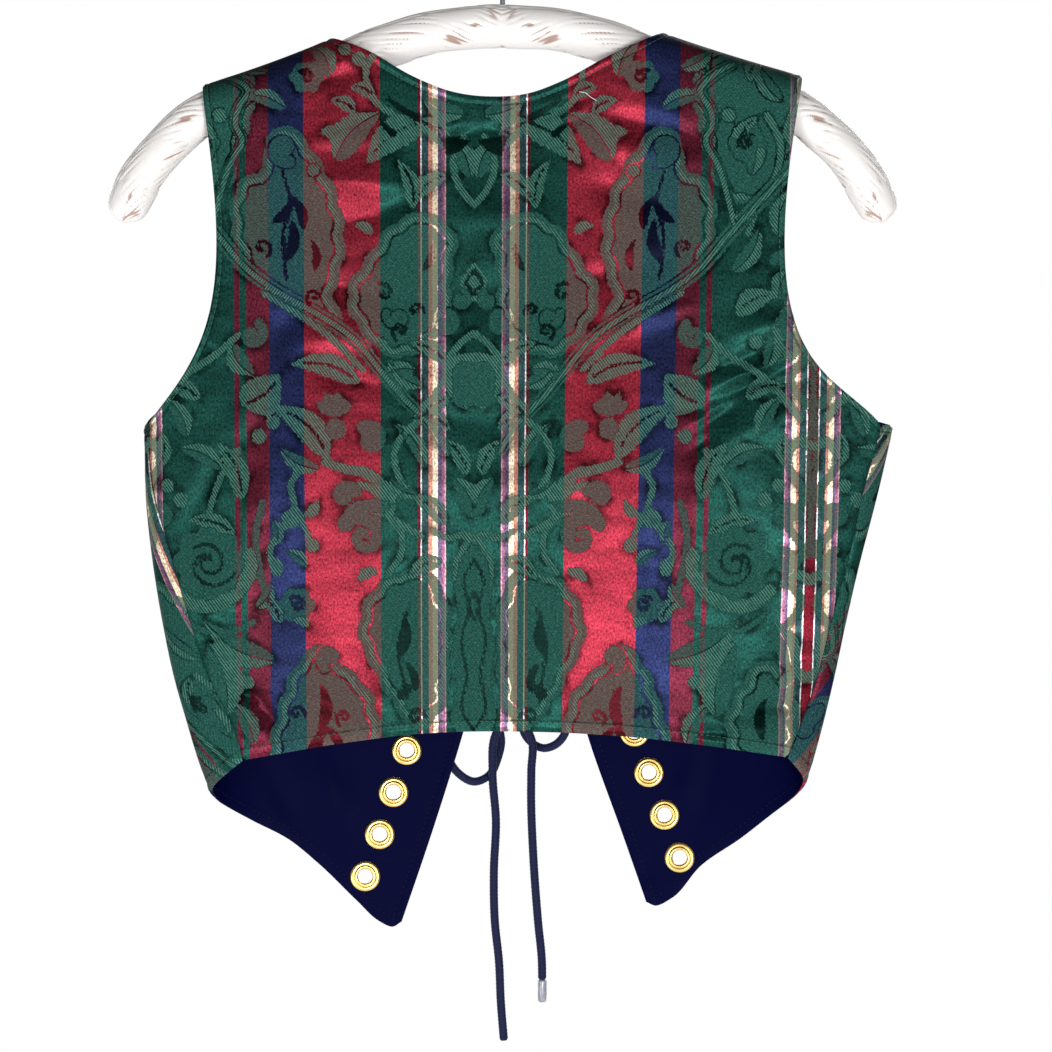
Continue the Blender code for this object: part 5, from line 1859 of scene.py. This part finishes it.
# %% One layer of cloth as a mesh
def add_layer(name, panel, outer, table, places, keep=None):
    """One layer of a panel as a thin closed shell that replaces its CAD solid."""
    finish, slot = (brocade, "brocade") if outer else (lining, "lining")
    points, faces, origin, shown = shell(panel, outer, table, keep)
    piece = add_piece(name + "_cloth", points, faces, finish, slot, [name], sharp=45)
    flat = places.reshape(-1, 2)[origin]
    give_uv(piece, flat)
    if outer:
        give_values(piece, **ornament(flat))
    edges = zip(panel.free, panel.stitch_in)
    from_stitches = np.min([near - inset for (near, _), inset in edges], axis=0)
    # How far the cloth has turned over the shoulder, which the brocade reads for its painted shade
    turned = shoulder_turn(panel.points).ravel()[origin]
    give_values(piece, sewn=from_stitches.ravel()[origin], shoulder=turned)
    return piece, shown


def flat_area(places, keep=None):
    """The flat area of a layer, in square metres."""
    a, b = places[1:, 1:] - places[:-1, :-1], places[1:, :-1] - places[:-1, 1:]
    cells = np.abs(a[..., 0] * b[..., 1] - a[..., 1] * b[..., 0]) / 2
    return float(cells[keep].sum() if keep is not None else cells.sum())


def declare_sheet(piece, places, keep=None):
    """States the cut of a layer that hangs on the hanger's pad."""
    width, length = (float(np.ptp(places[..., k])) for k in (0, 1))
    area = flat_area(places, keep)
    print(piece.name, f"cut {width:.3f} x {length:.3f} m, area {area:.4f} m2")


def seam_rows(cell):
    return round(SEAM_TALL / cell) + 1


print("seams have", seam_rows(BROCADE_CELL), "rows of brocade")


# %% The back
HEM_IN, NECK_IN, ARMHOLE_IN, FRONT_IN = 6.0, 4.5, 3.2, 5.5
laid = {}
for outer, cell, name in ((True, BROCADE_CELL, "back"), (False, LINING_CELL, "back_lining")):
    rows = seam_rows(cell)
    beside, middle = back_columns(cell)
    lines = (
        lambda p: p[0],
        lambda p: p[-1, beside : beside + middle + 1],
        lambda p: p[rows - 1 :, 0],
        lambda p: p[rows - 1 :, -1],
    )
    seams = (
        lambda p: p[:rows, 0],
        lambda p: p[:rows, -1],
        lambda p: p[-1, : beside + 1],
        lambda p: p[-1, beside + middle :],
    )
    panel = lay_out(back_grid(cell), lines, seams, (HEM_IN, NECK_IN, ARMHOLE_IN, ARMHOLE_IN))
    places = back_places(panel)
    piece, shown = add_layer(name, panel, outer, BACK_CREASES, places)
    declare_sheet(piece, places)
    laid[name] = (panel, shown)

# %% The fronts
for side in (LEFT, RIGHT):
    for outer, cell, ending in ((True, BROCADE_CELL, ""), (False, LINING_CELL, "_lining")):
        name = "front_" + SIDE_NAMES[side] + ending
        rows = seam_rows(cell)
        outer_column, inner_column = (0, -1) if side == LEFT else (-1, 0)
        lines = (
            lambda p: p[0],
            lambda p: p[:, inner_column],
            lambda p: p[rows - 1 :, outer_column],
        )
        seams = (lambda p: p[:rows, outer_column], lambda p: p[-1])
        panel = lay_out(front_grid(side, cell), lines, seams, (FRONT_IN, FRONT_IN, ARMHOLE_IN))
        keep = open_at_grommets(panel, side)
        places = front_places(panel, side)
        piece, shown = add_layer(name, panel, outer, FRONT_CREASES, places, keep)
        declare_sheet(piece, places, keep)
        laid[name] = (panel, shown)

# %% [markdown]
# ## Topstitching
#
# A line of small stitches runs beside every free edge, in the groove that it pulls into the
# cloth. One stitch is a short rounded bar. It is copied along each line and all the stitches
# of one thread are joined in one mesh.

# %% A line on the cloth at a fixed distance from an edge
STITCH, STITCH_GAP, STITCH_THICK, STITCH_LIFT = 2.5, 0.75, 0.21, 0.35
STITCH_SIDES = 6
StitchRing = namedtuple("StitchRing", "share size drop")
STITCH_RINGS = rows_of(
    StitchRing,
    (-0.5, 0.25, -0.9), (-0.44, 0.75, -0.25), (-0.2, 1, 0.2),
    (0.2, 1, 0.2), (0.44, 0.75, -0.25), (0.5, 0.25, -0.9),
)


def inset_line(shown, near, inset, along_rows, from_end):
    """Where each row or column of a face first gets this far from an edge."""
    if not along_rows:
        shown, near = shown.transpose(1, 0, 2), near.T
    if from_end:
        shown, near = shown[:, ::-1], near[:, ::-1]
    line = []
    for points, distances in zip(shown, near):
        reach = np.argmax(distances > inset)
        if reach == 0 or distances[0] > 1.0:
            continue
        share = (inset - distances[reach - 1]) / (distances[reach] - distances[reach - 1])
        line.append(points[reach - 1] + share * (points[reach] - points[reach - 1]))
    return np.array(line)


print("stitches are", STITCH, "mm long")


# %% One stitch, and a line of them
def one_stitch():
    """The points and faces of one stitch along X, with sunken ends."""
    turn = np.linspace(0, 2 * pi, STITCH_SIDES, endpoint=False)
    points = [
        (row.share, row.size * np.cos(a), row.size * np.sin(a) + row.drop)
        for row in STITCH_RINGS
        for a in turn
    ]
    faces = []
    for r in range(len(STITCH_RINGS) - 1):
        for c in range(STITCH_SIDES):
            a, b = r * STITCH_SIDES + c, r * STITCH_SIDES + (c + 1) % STITCH_SIDES
            faces.append((a, b, b + STITCH_SIDES, a + STITCH_SIDES))
    return np.array(points), np.array(faces)


def stitches_along(line, away):
    """Points and faces of the stitches on a line. away is the direction out of the cloth."""
    total = lengths(line)[-1]
    count = max(int(total / (STITCH + STITCH_GAP)), 1)
    starts = (np.arange(count) + 0.1) * (STITCH + STITCH_GAP) / total
    ends = starts + STITCH / total
    low, high = spaced(line, starts), spaced(line, ends)
    out = spaced(away, (starts + ends) / 2)
    ahead = high - low
    along = ahead / np.linalg.norm(ahead, axis=1, keepdims=True)
    out -= along * (out * along).sum(axis=1, keepdims=True)
    out /= np.linalg.norm(out, axis=1, keepdims=True)
    sideways = np.cross(out, along)
    bar, faces = one_stitch()
    middle = (low + high) / 2
    points = (
        middle[:, None]
        + bar[None, :, :1] * ahead[:, None]
        + bar[None, :, 1:2] * sideways[:, None] * STITCH_THICK
        + (bar[None, :, 2:] + STITCH_LIFT) * out[:, None] * STITCH_THICK
    )
    faces = faces[None] + np.arange(count)[:, None, None] * len(bar)
    return points.reshape(-1, 3), faces.reshape(-1, 4)


print("one stitch:", len(one_stitch()[1]), "faces")

# %% All the topstitching
Sewn = namedtuple("Sewn", "name edge inset rows from_end")
SEWN = rows_of(
    Sewn,
    ("back", 0, HEM_IN, False, False), ("back", 1, NECK_IN, False, True),
    ("back", 2, ARMHOLE_IN, True, False), ("back", 3, ARMHOLE_IN, True, True),
    ("front_left", 0, FRONT_IN, False, False), ("front_left", 1, FRONT_IN, True, True),
    ("front_left", 2, ARMHOLE_IN, True, False), ("front_right", 0, FRONT_IN, False, False),
    ("front_right", 1, FRONT_IN, True, False), ("front_right", 2, ARMHOLE_IN, True, True),
)
for ending, finish in (("", green_thread), ("_lining", navy_thread)):
    parts = []
    for sewn in SEWN:
        panel, shown = laid[sewn.name + ending]
        near = panel.free[sewn.edge][0]
        line = inset_line(shown, near, *sewn[2:])
        away = -panel.normal if ending else panel.normal
        parts.append(stitches_along(line, inset_line(shown + away, near, *sewn[2:]) - line))
    slot = "lining" if ending else "brocade"
    sewing = add_piece("topstitching" + ending, *joined(parts), finish, slot)
    print(sewing.name, len(sewing.data.polygons), "faces")

# %% [markdown]
# ## Grommets
#
# A grommet is two pieces of thin brass pressed together through the cloth. The face has a
# domed rim that rolls down into the hole, and the back has a flat washer under the curled
# end of the barrel. One is turned on its axis and copied to all the places.

# %% The brass
brass = Finish("brass", (0.9, 0.62, 0.2), 0.25, Metallic=1.0)
place = brass.places()
worn = brass.noise(place, 260, 3.0, 0.6)
fine_marks = brass.noise(brass.stretched(place, 1, 1, 4), 900, 2.0, 0.6)
brass.shade(
    Base_Color=brass.mix(worn, (0.98, 0.72, 0.26), (0.78, 0.5, 0.13)),
    Roughness=brass.scaled(fine_marks, 0.1, 0.24),
)
brass.bump(worn, 0.00003, 0.3)
print("brass ready")

# %% One grommet, spun from its section
GROMMET_SIDES = 56
Rim = namedtuple("Rim", "radius depth")
FACE = rows_of(
    Rim,
    (4.3, 1.2), (4.42, 0.55), (4.8, 0.14), (5.4, 0), (6.1, 0.04), (6.9, 0.2), (7.7, 0.5),
    (8.4, 0.95), (8.78, 1.4), (8.72, 1.62), (8.5, 1.55), (7.6, 1.0), (6.4, 0.7), (5.0, 0.8),
)
WASHER = rows_of(
    Rim,
    (5.0, 0.85), (6.4, 0.95), (8.2, 1.25), (8.6, 1.3), (8.76, 1.1), (8.5, 0.75), (7.6, 0.42),
    (6.6, 0.36), (6.42, 0.5), (6.25, 0.3), (5.8, 0.04), (5.2, 0), (4.7, 0.14), (4.4, 0.5),
    (4.3, 1.1),
)
section = [(row.radius / MM, 0, (FLANGE_TOP - row.depth) / MM) for row in FACE]
section += [(row.radius / MM, 0, (FLANGE_BOTTOM + row.depth) / MM) for row in WASHER]

data = bpy.data.meshes.new("grommet")
data.from_pydata(section, [(i, (i + 1) % len(section)) for i in range(len(section))], [])
grommet = bpy.data.objects.new("grommet", data)
bpy.context.collection.objects.link(grommet)
pick(grommet)
bpy.ops.object.mode_set(mode="EDIT")
bpy.ops.mesh.select_all(action="SELECT")
bpy.ops.mesh.spin(steps=GROMMET_SIDES, angle=2 * pi, center=(0, 0, 0), axis=(0, 0, 1))
bpy.ops.mesh.select_all(action="SELECT")
bpy.ops.mesh.remove_doubles(threshold=0.000002)
bpy.ops.mesh.normals_make_consistent(inside=False)
bpy.ops.object.mode_set(mode="OBJECT")
bpy.ops.object.shade_smooth_by_angle(angle=radians(50))
print("one grommet:", len(grommet.data.polygons), "faces")

# %% All the grommets
for side in (LEFT, RIGHT):
    for k, site in enumerate(SITES[side]):
        node = f"grommet_{SIDE_NAMES[side]}_{k + 1}"
        ring = grommet.copy()
        ring.data = grommet.data.copy()
        ring.name = ring.data.name = node + "_brass"
        bpy.context.collection.objects.link(ring)
        turn = site.normal.to_track_quat("Z", "Y").to_matrix().to_4x4()
        turn.translation = site.centre / MM
        ring.data.transform(turn)
        wear(ring, brass)
        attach(ring, "root")
        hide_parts(node)
bpy.data.objects.remove(grommet)
print("grommets placed")

# %% [markdown]
# ## The padded hanger
#
# The hanger is a bent wooden arm under thick wadding, covered with a gathered satin tube.
# The folds start at the sewn top edge and slant down towards the hook, and they fade and
# fork. They are made here as several waves round the arm whose lengths never agree, sheared
# along it. The steel hook rises from the middle.

# %% The gathered satin
PAD_RINGS, PAD_SIDES = 460, 104
END_ROUND = 5.5
Pad = namedtuple("Pad", "out drop radius")
PAD = rows_of(
    Pad,
    (0, 71.9, 12.5), (35.5, 74.4, 12.5), (71, 84.5, 12.5), (97, 95.2, 12.5), (134.5, 109.5, 12.5),
    (170, 121.6, 12.5), (190.5, 137.2, 12.5), (205.5, 154.9, 12.5), (213.5, 169.1, 12.3),
    (217.5, 178.7, 10.5), (219.5, 184.8, 6.5),
)
satin = Finish("ivory_satin", (0.88, 0.84, 0.81), 0.34, Sheen_Weight=0.2, Sheen_Roughness=0.35)
# Painted shade: the satin turns tan deep in each fold of the gathers
painted_fold_shade = satin.step(satin.attribute("relief"), 0.3, 0.75)
threads = satin.noise(satin.places(), 1700, 2.0, 0.6)
pale = satin.mix(threads, (0.82, 0.78, 0.75), (0.95, 0.92, 0.9))
satin.shade(
    Base_Color=satin.mix(satin.times(painted_fold_shade, 0.9), pale, (0.4, 0.24, 0.19)),
    Roughness=satin.scaled(threads, 0.2, 0.27),
)
satin.bump(threads, 0.0001, 0.5)
print("satin ready")

# %% Gathers round the arm
Gather = namedtuple("Gather", "pitch slope share shift")
GATHERS = rows_of(Gather, (9.8, 0.4, 0.5, 0.3), (6.4, 0.52, 0.36, 2.1), (15.7, 0.3, 0.3, 4.0))


def gathers(along, turn):
    """How deep in a fold the satin is, from 0 to 1. Folds slant down from the top edge."""
    off = np.abs(along - along.max() / 2)
    up_side = PAD[0].radius * np.abs(pi - turn)
    total = 0
    for row in GATHERS:
        sway = 1.6 * np.sin(off / 13 + row.shift)
        at = up_side - row.slope * off + sway + np.sin(2 * turn + off / 29)
        total = total + row.share * np.sin(2 * pi * at / row.pitch + row.shift)
    patchy = 0.55 + 0.5 * np.sin(off / 7.3 + 2.6 * turn)
    patchy = patchy + 0.35 * np.sin(off / 18.1 - 3.1 * turn + 1.1)
    return np.clip(1 - np.abs(total) / 0.3, 0, 1) * np.clip(patchy, 0, 1)


def pad_relief(along, turn):
    """Folds, a sewn edge near the top of the back, and a crease under the arm."""
    edge = np.exp(-(((turn - 5.75) / 0.07) ** 2)) + np.exp(-(((turn - pi) / 0.1) ** 2))
    swell = 0.25 * np.sin(along / 9.7 + 2 * turn) + 0.2 * np.sin(along / 5.9 - turn)
    return -1.15 * gathers(along, turn) - 0.55 * edge + swell


print(len(GATHERS), "waves of gathers")

# %% The pad
arm = [(row.out, 0.0, -row.drop, row.radius) for row in PAD]
both_arms = np.array([(-x, y, z, r) for x, y, z, r in arm[:0:-1]] + arm)
line = through(both_arms, np.linspace(0, 1, PAD_RINGS), fine=1500)
line, radii = line[:, :3], line[:, 3]
along = lengths(line)
to_end = np.minimum(along, along[-1] - along)
radii = radii * np.sqrt(np.clip(1 - (1 - np.clip(to_end / END_ROUND, 0, 1)) ** 2, 0.02, 1))
points, faces, _ = tube(line, radii, PAD_SIDES, pad_relief)
pad = add_piece("hanger_pad_satin", points, faces, satin, "satin", ["hanger_pad"])
turn = np.linspace(0, 2 * pi, PAD_SIDES, endpoint=False)[None]
# How deep in a fold each point is, for the satin's painted fold shade
give_values(pad, relief=gathers(along[:, None], turn))
print("pad:", len(pad.data.polygons), "faces")

# %% The hook
HOOK_WIRE, HOOK_INSIDE, HOOK_POINTS, HOOK_SIDES = 3.2, 19, 150, 24
HOOK_END_SHARES = (0.4, 0.72, 0.9, 0.98)
HOOK_START, HOOK_END, HOOK_STRAIGHT = 205, -48, 47
steel = Finish("bright_steel", (0.62, 0.62, 0.63), 0.2, Metallic=1.0)
place = steel.places()
marks = steel.noise(steel.stretched(place, 1, 1, 6), 700, 3.0, 0.6)
steel.shade(
    Base_Color=steel.mix(marks, (0.7, 0.7, 0.71), (0.5, 0.5, 0.52)),
    Roughness=steel.scaled(marks, 0.2, 0.14),
)
steel.bump(marks, 0.00005, 0.3)

radius = HOOK_INSIDE + HOOK_WIRE / 2
bend = np.radians(np.linspace(HOOK_START, HOOK_END, 24))
route = [(radius * cos(a), 0, -HOOK_INSIDE + radius * sin(a)) for a in bend]
route += [
    (5.5, 0, -HOOK_STRAIGHT + 4.2),
    (1.6, 0, -HOOK_STRAIGHT + 0.4),
    (0, 0, -HOOK_STRAIGHT - 3.5),
    (0, 0, -PAD[0].drop + PAD[0].radius - 0.8),
]
line = through(route, np.linspace(0, 1, HOOK_POINTS), fine=900)
radii = np.full(len(line), HOOK_WIRE / 2)
radii[: len(HOOK_END_SHARES)] *= HOOK_END_SHARES
points, faces, _ = tube(line, radii, HOOK_SIDES)
hook = add_piece("hanger_hook_wire", points, faces, steel, "steel", ["hanger_hook"])
print("hook:", len(hook.data.polygons), "faces")

# %% [markdown]
# ## A loose end of white thread
#
# A short white thread lies on the cloth just under the neckline. It shows in the
# photograph, so it stays.

# %% The loose thread
LOOSE = ((-45.3, -111.8), (-48.0, -113.2), (-50.0, -114.9), (-52.6, -116.0), (-54.7, -117.3))
LIFTS = (0.25, 0.25, 0.75, 0.25, 0.25)
THREAD_POINTS, THREAD_RADIUS, THREAD_SIDES = 40, 0.2, 8
panel, shown = laid["back"]
shown, normals = shown.reshape(-1, 3), panel.normal.reshape(-1, 3)
tree = tree_of(shown * (1, 0, 1))
nearest = [tree.find((x, 0, z))[1] for x, z in LOOSE]
spots = [shown[i] + normals[i] * lift for i, lift in zip(nearest, LIFTS)]
line = through(np.array(spots), np.linspace(0, 1, THREAD_POINTS))
points, faces, _ = tube(line, np.full(THREAD_POINTS, THREAD_RADIUS), THREAD_SIDES)
loose = add_piece("loose_thread", points, faces, white_thread, "brocade")
print("loose thread:", len(loose.data.polygons), "faces")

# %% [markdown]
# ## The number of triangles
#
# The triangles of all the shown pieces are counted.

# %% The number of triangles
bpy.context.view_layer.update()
total = sum(len(p.vertices) - 2 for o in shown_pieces() if o.type == "MESH" for p in o.data.polygons)
print("triangles in all:", total)
